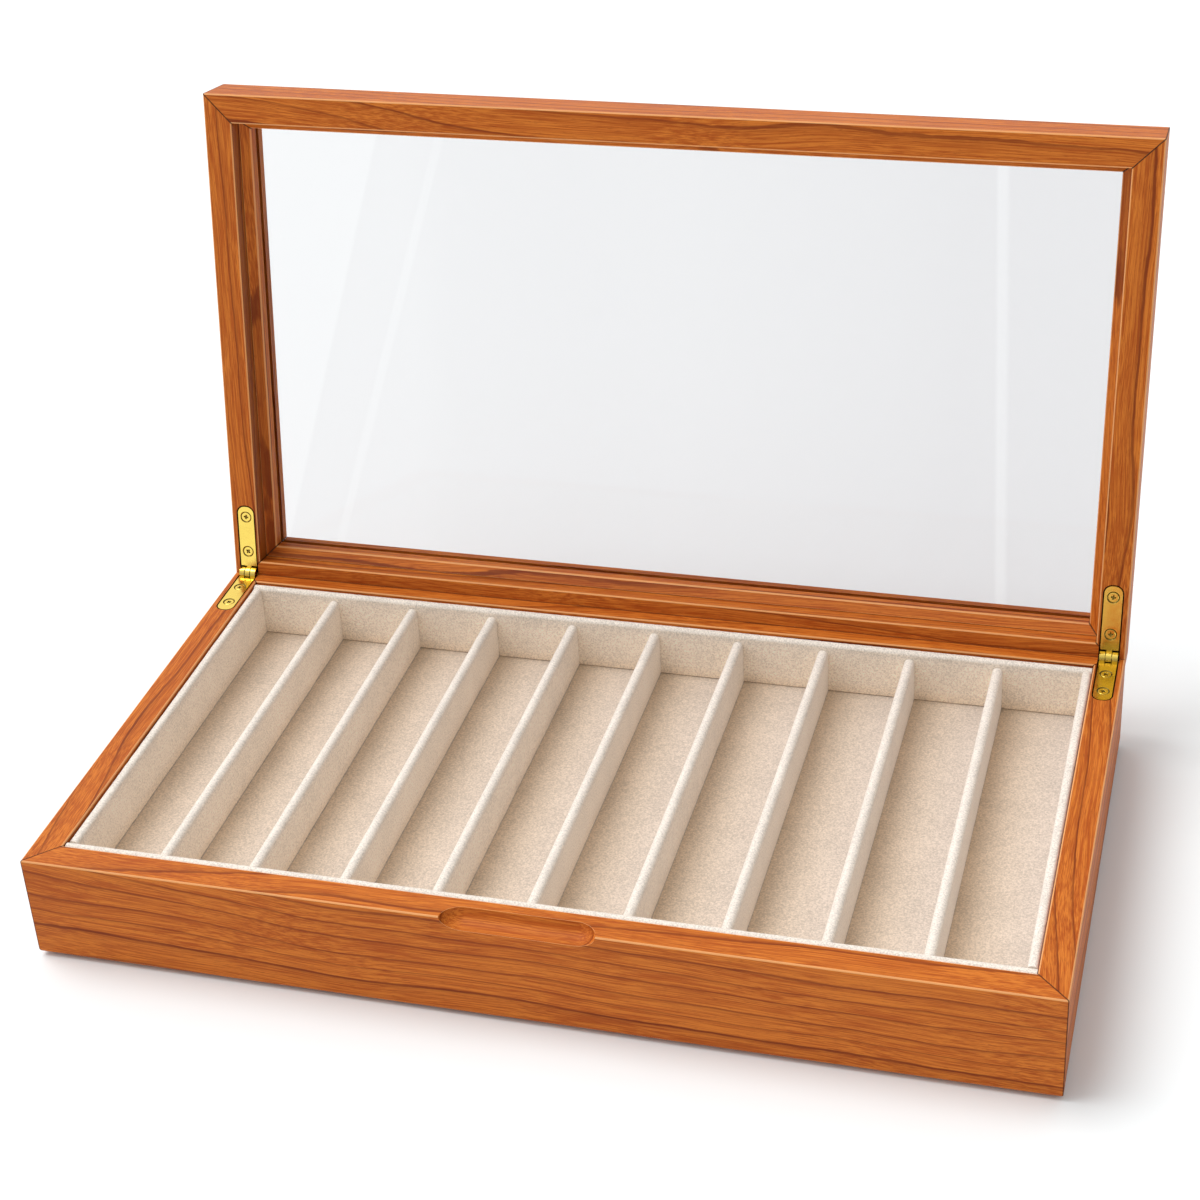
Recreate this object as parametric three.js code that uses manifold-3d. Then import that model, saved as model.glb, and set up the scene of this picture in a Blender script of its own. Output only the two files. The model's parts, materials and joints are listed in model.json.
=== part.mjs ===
// Jewelry box with a glass lid: mitred wooden frames, a velvet tray with ten compartments and a lid on
// two brass stop hinges, shown open. Millimetres, +X to the right, +Y to the back, +Z up.
// The origin is on the underside, in the middle of the base.
import * as THREE from 'three';
import { mergeVertices } from 'three/addons/utils/BufferGeometryUtils.js';
import Module from 'manifold-3d';

const wasm = await Module();
wasm.setup();

// Box
const BOX_WIDTH = 360;
const BOX_DEPTH = 202;
const WALL = 11;
const BASE_HEIGHT = 41;
const LID_THICKNESS = 21;
const MITRE_GAP = 0.1;
const GLUE_GAP = 0.1;

// Edges of the wooden rails
const FOOT_ROUND = 2;
const RIM_ROUND = 0.8;
const INNER_ROUND = 0.5;
const LID_TOP_ROUND = 1.5;

// Bottom
const BAIZE_THICKNESS = 1;
const BAIZE_MARGIN = 4;
const PANEL_THICKNESS = 4;
const REBATE_WIDTH = 6;

// Thumb groove in the front rail
const GROOVE_LENGTH = 54;
const GROOVE_RADIUS = 5;
const GROOVE_INSET = 1.8;

// Tray
const TRAY_CLEARANCE = 0.3;
const LINING_THICKNESS = 3.5;
const LINING_DROP = 0.6;
const LINING_ROUND = 1.2;
const FLOOR_THICKNESS = 2;
const COMPARTMENT_DEPTH = 21;
const COMPARTMENT_COUNT = 10;
const DIVIDER_THICKNESS = 4;
const DIVIDER_DROP = 2.5;
const CREST_FLAT = 0.1;

// Lid
const OPEN_ANGLE_DEG = 99.5;
const LID_GAP = 0.3;
const STOP_GAP = 0.3;
const LID_FIT = 0.2;
const LIP_WIDTH = 3.8;
const LIP_THICKNESS = 4;
const GLASS_THICKNESS = 2;
const BEAD_WIDTH = 3.6;
const BEAD_WALL = 4.8;
const BEAD_SLOPE = 3.2;

// Hinges
const PIVOT_INSET = 5.5;
const HINGE_INSET = 6;
const LEAF_WIDTH = 6.8;
const LEAF_THICKNESS = 1.5;
const LEAF_RECESS = 0.1;
const BASE_LEAF_LENGTH = 28;
const LID_LEAF_LENGTH = 29;
const LEAF_CORNER = 2.6;
const KNUCKLE_RADIUS = 2.7;
const KNUCKLE_GAP = 0.3;
const KNUCKLE_CLEARANCE = 0.5;
const MORTISE_CLEARANCE = 0.3;
const PIN_RADIUS = 1;
const PIN_CLEARANCE = 0.1;
const PIN_SETBACK = 0.2;

// Screws, the first placed from the pivot and the second from the leaf's round end
const BASE_SCREW_START = 10.5;
const BASE_SCREW_END = 6;
const LID_SCREW_START = 9.5;
const LID_SCREW_END = 4.5;
const SCREW_HEAD_RADIUS = 2.2;
const SCREW_HEAD_DEPTH = 1.2;
const SCREW_SHANK_RADIUS = 1.1;
const SCREW_LENGTH = 8;
const SCREW_TIP = 1.5;
const SCREW_CLEARANCE = 0.15;
const RECESS_LENGTH = 2.4;
const RECESS_WIDTH = 0.6;
const RECESS_DEPTH = 0.5;

// Steps on round shapes, and how far a cutter runs past what it cuts
const ARC_STEPS = 2;
const ROUND_STEPS = 24;
const OVERCUT = 2;
const WELD = 1e-4;

// Heights and places worked out from the sizes
const RAIL_BOTTOM = BAIZE_THICKNESS + GLUE_GAP;
const RIM_TOP = RAIL_BOTTOM + BASE_HEIGHT;
const LINING_TOP = RIM_TOP - LINING_DROP;
const DIVIDER_TOP = LINING_TOP - DIVIDER_DROP;
const FLOOR_TOP = LINING_TOP - COMPARTMENT_DEPTH;
const FLOOR_BOTTOM = FLOOR_TOP - FLOOR_THICKNESS;
const PANEL_TOP = RAIL_BOTTOM + PANEL_THICKNESS;
const TRAY_WIDTH = BOX_WIDTH - 2 * (WALL + TRAY_CLEARANCE);
const TRAY_DEPTH = BOX_DEPTH - 2 * (WALL + TRAY_CLEARANCE);
const INNER_WIDTH = TRAY_WIDTH - 2 * LINING_THICKNESS;
const INNER_DEPTH = TRAY_DEPTH - 2 * LINING_THICKNESS;
const DIVIDER_COUNT = COMPARTMENT_COUNT - 1;
const COMPARTMENT_WIDTH = (INNER_WIDTH - DIVIDER_COUNT * DIVIDER_THICKNESS) / COMPARTMENT_COUNT;
const GLASS_TOP = LID_THICKNESS - LIP_THICKNESS - LID_FIT;
const BEAD_TOP = GLASS_TOP - GLASS_THICKNESS - LID_FIT;
const BEAD_BOTTOM = BEAD_TOP - BEAD_WALL - BEAD_SLOPE;
const PIVOT_Y = BOX_DEPTH / 2 - PIVOT_INSET;
const PIVOT_Z = RIM_TOP + LID_GAP / 2;
const HINGE_X = BOX_WIDTH / 2 - HINGE_INSET;
const LEAF_FACE = LID_GAP / 2 + LEAF_RECESS;
const BASE_SCREW_PLACES = [BASE_SCREW_START, BASE_LEAF_LENGTH - BASE_SCREW_END];
const LID_SCREW_PLACES = [LID_SCREW_START, LID_LEAF_LENGTH - LID_SCREW_END];
const OPEN_ANGLE = THREE.MathUtils.degToRad(OPEN_ANGLE_DEG);

// Materials
const CHERRY = new THREE.MeshStandardMaterial({ color: '#b5682f', roughness: 0.45, metalness: 0 });
const PLYWOOD = new THREE.MeshStandardMaterial({ color: '#c79a66', roughness: 0.7, metalness: 0 });
const VELVET = new THREE.MeshStandardMaterial({ color: '#cdbba6', roughness: 0.95, metalness: 0 });
const BAIZE = new THREE.MeshStandardMaterial({ color: '#4b3a2e', roughness: 1, metalness: 0 });
const FOAM = new THREE.MeshStandardMaterial({ color: '#e6e2d8', roughness: 1, metalness: 0 });
const BRASS = new THREE.MeshStandardMaterial({ color: '#d9b44a', roughness: 0.25, metalness: 1 });
const GLASS = new THREE.MeshStandardMaterial({
  color: '#eef3f3',
  roughness: 0.03,
  metalness: 0,
  transparent: true,
  opacity: 0.3,
});

// Outline through corners given as [x, y, radius], with each radius drawn as an arc
function roundedOutline(corners) {
  const outline = new THREE.Shape();
  const pointAt = (i) => new THREE.Vector2(...corners[(i + corners.length) % corners.length].slice(0, 2));
  corners.forEach(([, , radius = 0], i) => {
    const corner = pointAt(i);
    const back = pointAt(i - 1).sub(corner).normalize();
    const ahead = pointAt(i + 1).sub(corner).normalize();
    const halfAngle = Math.acos(back.dot(ahead)) / 2;
    const reach = radius / Math.tan(halfAngle);
    const start = corner.clone().addScaledVector(back, reach);
    const draw = i === 0 ? 'moveTo' : 'lineTo';
    outline[draw](start.x, start.y);
    if (radius > 0) {
      const end = corner.clone().addScaledVector(ahead, reach);
      const centre = back.clone().add(ahead).normalize();
      centre.multiplyScalar(radius / Math.sin(halfAngle)).add(corner);
      const from = start.clone().sub(centre).angle();
      const to = end.clone().sub(centre).angle();
      const clockwise = back.cross(ahead) > 0;
      outline.absarc(centre.x, centre.y, radius, from, to, clockwise);
    }
  });
  return outline;
}

// Extrusion of an outline along +Z, from 0 to depth
function extrude(outline, depth) {
  return new THREE.ExtrudeGeometry(outline, { depth, bevelEnabled: false, curveSegments: ARC_STEPS });
}

// Extrusion with the outline's axes turned to Y and Z, from end to end along X
function extrudeAlongX(outline, length) {
  const geometry = extrude(outline, length);
  const turned = new THREE.Matrix4().makeBasis(
    new THREE.Vector3(0, 1, 0),
    new THREE.Vector3(0, 0, 1),
    new THREE.Vector3(1, 0, 0),
  );
  return geometry.applyMatrix4(turned).translate(-length / 2, 0, 0);
}

function box(width, depth, height) {
  return new THREE.BoxGeometry(width, depth, height);
}

function cylinderAlongX(radius, length) {
  return new THREE.CylinderGeometry(radius, radius, length, ROUND_STEPS).rotateZ(Math.PI / 2);
}

function piece(name, geometry, material, x = 0, y = 0, z = 0) {
  const mesh = new THREE.Mesh(geometry, material);
  mesh.name = name;
  mesh.position.set(x, y, z);
  return mesh;
}

// Solid of a geometry for the boolean cuts, with its shared corners welded
function solidOf(geometry, matrix) {
  const plain = geometry.clone().applyMatrix4(matrix);
  plain.deleteAttribute('normal');
  plain.deleteAttribute('uv');
  const welded = mergeVertices(plain, WELD);
  const triangles = [];
  for (let i = 0; i < welded.index.count; i += 3) {
    const corners = [0, 1, 2].map((k) => welded.index.getX(i + k));
    if (new Set(corners).size === 3) {
      triangles.push(...corners);
    }
  }
  return new wasm.Manifold(new wasm.Mesh({
    numProp: 3,
    vertProperties: new Float32Array(welded.attributes.position.array),
    triVerts: new Uint32Array(triangles),
  }));
}

function geometryOf(solid) {
  const { vertProperties, triVerts, numProp } = solid.getMesh();
  const geometry = new THREE.BufferGeometry();
  const points = [];
  for (let i = 0; i < vertProperties.length; i += numProp) {
    points.push(vertProperties[i], vertProperties[i + 1], vertProperties[i + 2]);
  }
  geometry.setAttribute('position', new THREE.Float32BufferAttribute(points, 3));
  geometry.setIndex(new THREE.Uint32BufferAttribute(triVerts, 1));
  geometry.computeVertexNormals();
  return geometry;
}

// Joins and cuts a mesh with other meshes that are placed in the same group
function reshape(mesh, joined, cutters) {
  mesh.updateMatrix();
  const toLocal = mesh.matrix.clone().invert();
  const local = (tool) => {
    tool.updateMatrix();
    return solidOf(tool.geometry, toLocal.clone().multiply(tool.matrix));
  };
  let solid = solidOf(mesh.geometry, new THREE.Matrix4());
  joined.forEach((tool) => {
    solid = solid.add(local(tool));
  });
  cutters.forEach((tool) => {
    solid = solid.subtract(local(tool));
  });
  mesh.geometry = geometryOf(solid);
  return mesh;
}

// A shape that only cuts or joins others
function tool(geometry, x = 0, y = 0, z = 0) {
  return piece('', geometry, null, x, y, z);
}

// Frames: four rails with mitred ends, each with its section's x inwards from the outer face and y up
const SIDES = [
  { side: 'front', turn: 0, length: BOX_WIDTH },
  { side: 'right', turn: Math.PI / 2, length: BOX_DEPTH },
  { side: 'back', turn: Math.PI, length: BOX_WIDTH },
  { side: 'left', turn: -Math.PI / 2, length: BOX_DEPTH },
];

function mitredRail(section, length) {
  const rail = extrude(section, 1);
  const points = rail.attributes.position;
  for (let i = 0; i < points.count; i++) {
    const inward = points.getX(i);
    const up = points.getY(i);
    const end = points.getZ(i) > 0.5 ? 1 : -1;
    points.setXYZ(i, end * (length / 2 - inward - MITRE_GAP / 2), inward, up);
  }
  return rail;
}

function frameOf(nameOf, section, material, z) {
  return SIDES.map(({ side, turn, length }) => {
    const rail = piece(nameOf(side), mitredRail(section, length), material);
    rail.position.set(Math.sin(turn) * BOX_WIDTH / 2, -Math.cos(turn) * BOX_DEPTH / 2, z);
    rail.rotation.z = turn;
    return rail;
  });
}

// Chamfer along the back edges, which start at the pivot line and meet when the lid is fully open.
// The sign is 1 for the base, whose chamfer falls to the back, and -1 for the lid.
function chamferCutter(sign, pivotZ) {
  const slope = OPEN_ANGLE / 2;
  const reach = PIVOT_INSET / Math.cos(slope) + OVERCUT;
  const startY = PIVOT_Y - STOP_GAP / 2 * Math.sin(slope);
  const startZ = pivotZ - sign * STOP_GAP / 2 * Math.cos(slope);
  const corners = [
    [startY, startZ],
    [startY + reach * Math.cos(slope), startZ - sign * reach * Math.sin(slope)],
    [startY + reach * Math.cos(slope), pivotZ + sign * OVERCUT],
    [startY, pivotZ + sign * OVERCUT],
  ];
  return tool(extrudeAlongX(roundedOutline(corners), BOX_WIDTH + 2 * OVERCUT));
}

// Hinge leaves lie along -Y from the pivot, below it in the base and above it in the closed lid
function leafOutline(length, clearance) {
  const half = LEAF_WIDTH / 2 + clearance;
  const corner = LEAF_CORNER + clearance;
  return roundedOutline([
    [-half, -length - clearance, corner],
    [half, -length - clearance, corner],
    [half, clearance],
    [-half, clearance],
  ]);
}

// Plate of a leaf, with its outer face towards the other leaf at the given side of the pivot
function leafPlate(length, sign) {
  const plate = extrude(leafOutline(length, 0), LEAF_THICKNESS);
  const bottom = sign > 0 ? LEAF_FACE : -LEAF_FACE - LEAF_THICKNESS;
  return plate.translate(0, 0, bottom);
}

// Turned shape on the Z axis, from its half profile
function turned(profile) {
  const points = profile.map(([r, z]) => new THREE.Vector2(r, z));
  return new THREE.LatheGeometry(points, ROUND_STEPS).rotateX(Math.PI / 2);
}

// Screw with its head's face at z = 0 and its shank along -Z
function screwGeometry() {
  return turned([
    [0, -SCREW_LENGTH],
    [SCREW_SHANK_RADIUS, -SCREW_LENGTH + SCREW_TIP],
    [SCREW_SHANK_RADIUS, -SCREW_HEAD_DEPTH],
    [SCREW_HEAD_RADIUS, 0],
    [0, 0],
  ]);
}

// Countersunk hole round a screw, open above its head
function screwHole() {
  return turned([
    [0, -SCREW_LENGTH - SCREW_CLEARANCE],
    [SCREW_SHANK_RADIUS + SCREW_CLEARANCE, -SCREW_LENGTH - SCREW_CLEARANCE],
    [SCREW_SHANK_RADIUS + SCREW_CLEARANCE, -SCREW_HEAD_DEPTH],
    [SCREW_HEAD_RADIUS + SCREW_CLEARANCE, 0],
    [SCREW_HEAD_RADIUS + SCREW_CLEARANCE, OVERCUT],
    [0, OVERCUT],
  ]);
}

// Places a screw or its hole on a leaf, head towards the other leaf
function onLeaf(part, x, y, pivotZ, sign, place) {
  part.position.set(x, y - place, pivotZ + sign * LEAF_FACE);
  part.rotation.x = sign > 0 ? Math.PI : 0;
  return part;
}

const KNUCKLE_WIDTH = (LEAF_WIDTH - 2 * KNUCKLE_GAP) / 3;
const KNUCKLE_PITCH = KNUCKLE_WIDTH + KNUCKLE_GAP;
const SLOT_REACH = KNUCKLE_RADIUS + KNUCKLE_CLEARANCE;

// Everything that is cut out of the wood round one leaf
function mortiseCutters(x, y, pivotZ, sign, length, screwPlaces) {
  const depth = LEAF_FACE + LEAF_THICKNESS + MORTISE_CLEARANCE;
  const pocket = extrude(leafOutline(length, MORTISE_CLEARANCE), depth);
  const notchWidth = LEAF_WIDTH + 2 * MORTISE_CLEARANCE;
  const screws = screwPlaces.map((place) => onLeaf(tool(screwHole()), x, y, pivotZ, sign, place));
  return [
    tool(pocket, x, y, sign > 0 ? pivotZ : pivotZ - depth),
    tool(cylinderAlongX(KNUCKLE_RADIUS + MORTISE_CLEARANCE, notchWidth), x, y, pivotZ),
    ...screws,
  ];
}

// One leaf with its knuckles, given their places across the leaf
function hingeLeaf(name, x, y, pivotZ, sign, length, screwPlaces, ownKnuckles, otherKnuckles) {
  const leaf = piece(name, leafPlate(length, sign), BRASS, x, y, pivotZ);
  const knuckleAt = (place) => (
    tool(cylinderAlongX(KNUCKLE_RADIUS, KNUCKLE_WIDTH), x + place * KNUCKLE_PITCH, y, pivotZ)
  );
  const slotAt = (place) => tool(
    box(KNUCKLE_WIDTH + 2 * KNUCKLE_GAP, 2 * SLOT_REACH, 2 * SLOT_REACH),
    x + place * KNUCKLE_PITCH,
    y,
    pivotZ,
  );
  reshape(leaf, [], otherKnuckles.map(slotAt));
  const bore = tool(cylinderAlongX(PIN_RADIUS + PIN_CLEARANCE, LEAF_WIDTH + OVERCUT), x, y, pivotZ);
  const holes = screwPlaces.map((place) => onLeaf(tool(screwHole()), x, y, pivotZ, sign, place));
  return reshape(leaf, ownKnuckles.map(knuckleAt), [bore, ...holes]);
}

function hingeScrews(prefix, x, y, pivotZ, sign, screwPlaces) {
  const slot = (length, width) => tool(box(length, width, 2 * RECESS_DEPTH));
  const head = reshape(piece('', screwGeometry(), BRASS), [], [
    slot(RECESS_LENGTH, RECESS_WIDTH),
    slot(RECESS_WIDTH, RECESS_LENGTH),
  ]);
  return screwPlaces.map((place, i) => (
    onLeaf(piece(`${prefix}_screw_${i + 1}`, head.geometry, BRASS), x, y, pivotZ, sign, place)
  ));
}

const HINGES = [
  { side: 'left', x: -HINGE_X },
  { side: 'right', x: HINGE_X },
];
const BASE_KNUCKLES = [-1, 1];
const LID_KNUCKLES = [0];

// Base: four rails with a rebate for the bottom panel, a thumb groove and the hinge mortises
const baseSection = roundedOutline([
  [0, 0, FOOT_ROUND],
  [WALL - REBATE_WIDTH, 0],
  [WALL - REBATE_WIDTH, PANEL_THICKNESS + GLUE_GAP],
  [WALL, PANEL_THICKNESS + GLUE_GAP],
  [WALL, BASE_HEIGHT, INNER_ROUND],
  [0, BASE_HEIGHT, RIM_ROUND],
]);

function thumbGroove() {
  const straight = GROOVE_LENGTH - 2 * GROOVE_RADIUS;
  const groove = new THREE.CapsuleGeometry(GROOVE_RADIUS, straight, ROUND_STEPS / 4, ROUND_STEPS);
  return tool(groove.rotateZ(Math.PI / 2), 0, -BOX_DEPTH / 2 + GROOVE_INSET, RIM_TOP);
}

function makeBaseRails() {
  const rails = frameOf((side) => `base_${side}_rail`, baseSection, CHERRY, RAIL_BOTTOM);
  const [front, ...others] = rails;
  const mortises = HINGES.flatMap(({ x }) => (
    mortiseCutters(x, PIVOT_Y, PIVOT_Z, -1, BASE_LEAF_LENGTH, BASE_SCREW_PLACES)
  ));
  const backCutters = [chamferCutter(1, PIVOT_Z), ...mortises];
  others.forEach((rail) => reshape(rail, [], backCutters));
  reshape(front, [], [thumbGroove()]);
  return rails;
}

function makeBottom() {
  const panelWidth = BOX_WIDTH - 2 * (WALL - REBATE_WIDTH + GLUE_GAP);
  const panelDepth = BOX_DEPTH - 2 * (WALL - REBATE_WIDTH + GLUE_GAP);
  const panel = box(panelWidth, panelDepth, PANEL_THICKNESS);
  const baize = box(BOX_WIDTH - 2 * BAIZE_MARGIN, BOX_DEPTH - 2 * BAIZE_MARGIN, BAIZE_THICKNESS);
  return [
    piece('bottom_panel', panel, PLYWOOD, 0, 0, RAIL_BOTTOM + PANEL_THICKNESS / 2),
    piece('baize_sheet', baize, BAIZE, 0, 0, BAIZE_THICKNESS / 2),
  ];
}

// Tray: a foam block and a covered floor, four covered walls and the dividers between the compartments
function wallBoard(length, thickness, height, round) {
  const section = roundedOutline([
    [-thickness / 2, 0],
    [thickness / 2, 0],
    [thickness / 2, height, round],
    [-thickness / 2, height, round],
  ]);
  return extrudeAlongX(section, length);
}

function makeTray() {
  const foamBottom = PANEL_TOP + GLUE_GAP;
  const foamHeight = FLOOR_BOTTOM - GLUE_GAP - foamBottom;
  const boardBottom = FLOOR_TOP + GLUE_GAP;
  const liningHeight = LINING_TOP - boardBottom;
  const dividerHeight = DIVIDER_TOP - boardBottom;
  const foam = box(TRAY_WIDTH, TRAY_DEPTH, foamHeight);
  const floor = box(TRAY_WIDTH, TRAY_DEPTH, FLOOR_THICKNESS);
  const longWall = wallBoard(TRAY_WIDTH, LINING_THICKNESS, liningHeight, LINING_ROUND);
  const shortWall = wallBoard(INNER_DEPTH - 2 * GLUE_GAP, LINING_THICKNESS, liningHeight, LINING_ROUND);
  const dividerRound = (DIVIDER_THICKNESS - CREST_FLAT) / 2;
  const divider = wallBoard(INNER_DEPTH - 2 * GLUE_GAP, DIVIDER_THICKNESS, dividerHeight, dividerRound);
  shortWall.rotateZ(Math.PI / 2);
  divider.rotateZ(Math.PI / 2);
  const wallX = (TRAY_WIDTH - LINING_THICKNESS) / 2;
  const wallY = (TRAY_DEPTH - LINING_THICKNESS) / 2;
  const pieces = [
    piece('foam_block', foam, FOAM, 0, 0, foamBottom + foamHeight / 2),
    piece('tray_floor', floor, VELVET, 0, 0, FLOOR_BOTTOM + FLOOR_THICKNESS / 2),
    piece('lining_front', longWall, VELVET, 0, -wallY, boardBottom),
    piece('lining_back', longWall, VELVET, 0, wallY, boardBottom),
    piece('lining_left', shortWall, VELVET, -wallX, 0, boardBottom),
    piece('lining_right', shortWall, VELVET, wallX, 0, boardBottom),
  ];
  for (let i = 1; i <= DIVIDER_COUNT; i++) {
    const x = -INNER_WIDTH / 2 + i * COMPARTMENT_WIDTH + (i - 0.5) * DIVIDER_THICKNESS;
    pieces.push(piece(`divider_${i}`, divider, VELVET, x, 0, boardBottom));
  }
  return pieces;
}

function hingePin(name, x) {
  return piece(name, cylinderAlongX(PIN_RADIUS, LEAF_WIDTH - 2 * PIN_SETBACK), BRASS, x, PIVOT_Y, PIVOT_Z);
}

// Halves of the hinges that are screwed to the base, with the pins
function makeBaseHinges() {
  return HINGES.flatMap(({ side, x }) => [
    hingeLeaf(
      `hinge_${side}_base_leaf`, x, PIVOT_Y, PIVOT_Z, -1,
      BASE_LEAF_LENGTH, BASE_SCREW_PLACES, BASE_KNUCKLES, LID_KNUCKLES,
    ),
    hingePin(`hinge_${side}_pin`, x),
    ...hingeScrews(`hinge_${side}_base`, x, PIVOT_Y, PIVOT_Z, -1, BASE_SCREW_PLACES),
  ]);
}

// Lid: modelled closed, with z = 0 on its rim and the pivot line just below it
const LID_PIVOT_Z = -LID_GAP / 2;

const lidSection = roundedOutline([
  [0, 0, RIM_ROUND],
  [WALL, 0, INNER_ROUND],
  [WALL, LID_THICKNESS - LIP_THICKNESS],
  [WALL + LIP_WIDTH, LID_THICKNESS - LIP_THICKNESS],
  [WALL + LIP_WIDTH, LID_THICKNESS, INNER_ROUND],
  [0, LID_THICKNESS, LID_TOP_ROUND],
]);

const beadSection = roundedOutline([
  [WALL + LID_FIT, BEAD_BOTTOM],
  [WALL + BEAD_WIDTH, BEAD_BOTTOM + BEAD_SLOPE, INNER_ROUND],
  [WALL + BEAD_WIDTH, BEAD_TOP],
  [WALL + LID_FIT, BEAD_TOP],
]);

function makeLidFrame() {
  const rails = frameOf((side) => `lid_${side}_rail`, lidSection, CHERRY, 0);
  const mortises = HINGES.flatMap(({ x }) => (
    mortiseCutters(x, PIVOT_Y, LID_PIVOT_Z, 1, LID_LEAF_LENGTH, LID_SCREW_PLACES)
  ));
  const backCutters = [chamferCutter(-1, LID_PIVOT_Z), ...mortises];
  rails.slice(1).forEach((rail) => reshape(rail, [], backCutters));
  return rails;
}

function makeWindow() {
  const glassMargin = 2 * (WALL + LID_FIT);
  const glass = box(BOX_WIDTH - glassMargin, BOX_DEPTH - glassMargin, GLASS_THICKNESS);
  return [
    piece('glass_pane', glass, GLASS, 0, 0, GLASS_TOP - GLASS_THICKNESS / 2),
    ...frameOf((side) => `glass_bead_${side}`, beadSection, CHERRY, 0),
  ];
}

function makeLidHinges() {
  return HINGES.flatMap(({ side, x }) => [
    hingeLeaf(
      `hinge_${side}_lid_leaf`, x, PIVOT_Y, LID_PIVOT_Z, 1,
      LID_LEAF_LENGTH, LID_SCREW_PLACES, LID_KNUCKLES, BASE_KNUCKLES,
    ),
    ...hingeScrews(`hinge_${side}_lid`, x, PIVOT_Y, LID_PIVOT_Z, 1, LID_SCREW_PLACES),
  ]);
}

// Assembly: the lid hangs in a group that turns about the pivot line
const lid = new THREE.Group();
lid.position.set(0, -PIVOT_Y, LID_GAP / 2);
lid.add(...makeLidFrame(), ...makeWindow(), ...makeLidHinges());

const lidHinge = new THREE.Group();
lidHinge.position.set(0, PIVOT_Y, PIVOT_Z);
lidHinge.rotation.x = -OPEN_ANGLE;
lidHinge.add(lid);

const jewelryBox = new THREE.Group();
jewelryBox.add(...makeBaseRails(), ...makeBottom(), ...makeTray(), ...makeBaseHinges(), lidHinge);

export default jewelryBox;
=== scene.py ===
"""Models and dresses a cherry jewelry box with a glass lid, brass stop hinges and a velvet tray.

Every piece is built round the packed frame, in metres, +X to the right, +Y to the back, +Z up.
Pieces of the lid are modelled with the lid closed and then turned open about the hinge line.
"""

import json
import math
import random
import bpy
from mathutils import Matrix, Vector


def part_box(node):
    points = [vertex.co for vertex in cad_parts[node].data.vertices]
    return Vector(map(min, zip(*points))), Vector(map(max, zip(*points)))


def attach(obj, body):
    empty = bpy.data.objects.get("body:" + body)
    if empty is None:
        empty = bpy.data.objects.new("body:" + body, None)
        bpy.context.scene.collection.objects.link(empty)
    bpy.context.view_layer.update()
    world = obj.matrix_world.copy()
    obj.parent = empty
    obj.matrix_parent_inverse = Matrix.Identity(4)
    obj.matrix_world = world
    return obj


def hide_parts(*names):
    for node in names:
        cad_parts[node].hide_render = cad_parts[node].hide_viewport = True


bl_info = {
    "name": "Glass Lid Jewelry Box",
    "version": (1, 0, 0),
    "blender": (4, 5, 0),
    "location": "View3D > Sidebar > Jewelry Box",
    "description": "Models and dresses a cherry jewelry box with a glass lid and a velvet tray",
    "category": "Object",
}

import bmesh
import bpy
from mathutils import Matrix, Vector, noise

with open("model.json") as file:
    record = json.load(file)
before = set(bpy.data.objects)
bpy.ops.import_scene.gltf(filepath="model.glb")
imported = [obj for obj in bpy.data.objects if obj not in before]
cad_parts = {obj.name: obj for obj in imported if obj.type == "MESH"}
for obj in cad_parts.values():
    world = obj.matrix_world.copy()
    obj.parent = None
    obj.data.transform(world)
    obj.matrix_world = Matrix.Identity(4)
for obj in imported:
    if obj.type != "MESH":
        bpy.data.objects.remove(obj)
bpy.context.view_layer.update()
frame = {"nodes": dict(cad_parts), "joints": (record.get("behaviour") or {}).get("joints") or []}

MM = 0.001
SHARP = math.radians(35)
# Rounded faces narrower than this count as arrises, which the cherry paints with a highlight
ARRIS_WIDTH = 0.2 * MM

# Places and sizes read from the frame
HINGE = frame["joints"][0]
OPEN_ANGLE = math.radians(HINGE["range_deg"][1])
PIVOT = Vector(HINGE["pos_m"])
LEFT_LOW, LEFT_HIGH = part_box("base_left_rail")
FRONT_LOW, FRONT_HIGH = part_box("base_front_rail")
BACK_LOW, BACK_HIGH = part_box("base_back_rail")
RIGHT_LOW, RIGHT_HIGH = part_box("base_right_rail")
BOX_WIDTH = RIGHT_HIGH[0] - LEFT_LOW[0]
BOX_DEPTH = BACK_HIGH[1] - FRONT_LOW[1]
WALL = LEFT_HIGH[0] - LEFT_LOW[0]
RAIL_BOTTOM = FRONT_LOW[2]
RIM_TOP = FRONT_HIGH[2]
BASE_HEIGHT = RIM_TOP - RAIL_BOTTOM
LID_RIM = 2 * PIVOT.z - RIM_TOP
OPENING = Matrix.Translation(PIVOT) @ Matrix.Rotation(-OPEN_ANGLE, 4, "X") @ Matrix.Translation(-PIVOT)
CLOSING = OPENING.inverted()

# Sizes of the wooden frames that the node boxes don't give
LID_THICKNESS = 21 * MM
LIP_THICKNESS = 4 * MM
LIP_WIDTH = 3.8 * MM
BEAD_WIDTH = 3.6 * MM
BEAD_WALL = 4.8 * MM
BEAD_SLOPE = 3.2 * MM
GLASS_THICKNESS = 2 * MM
LID_FIT = 0.2 * MM
PANEL_REBATE = (6 * MM, 4.1 * MM)
STOP_GAP = 0.3 * MM

# Thumb groove along the front rail's top edge: its reach into the top, its reach down the front,
# the length of each rounded end, and how squarely its back wall meets its floor
GROOVE_LENGTH = 54 * MM
GROOVE_DEEP = 6.8 * MM
GROOVE_LOW = 4.7 * MM
GROOVE_TIP = 8 * MM
GROOVE_SQUARE = 2.35

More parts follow.
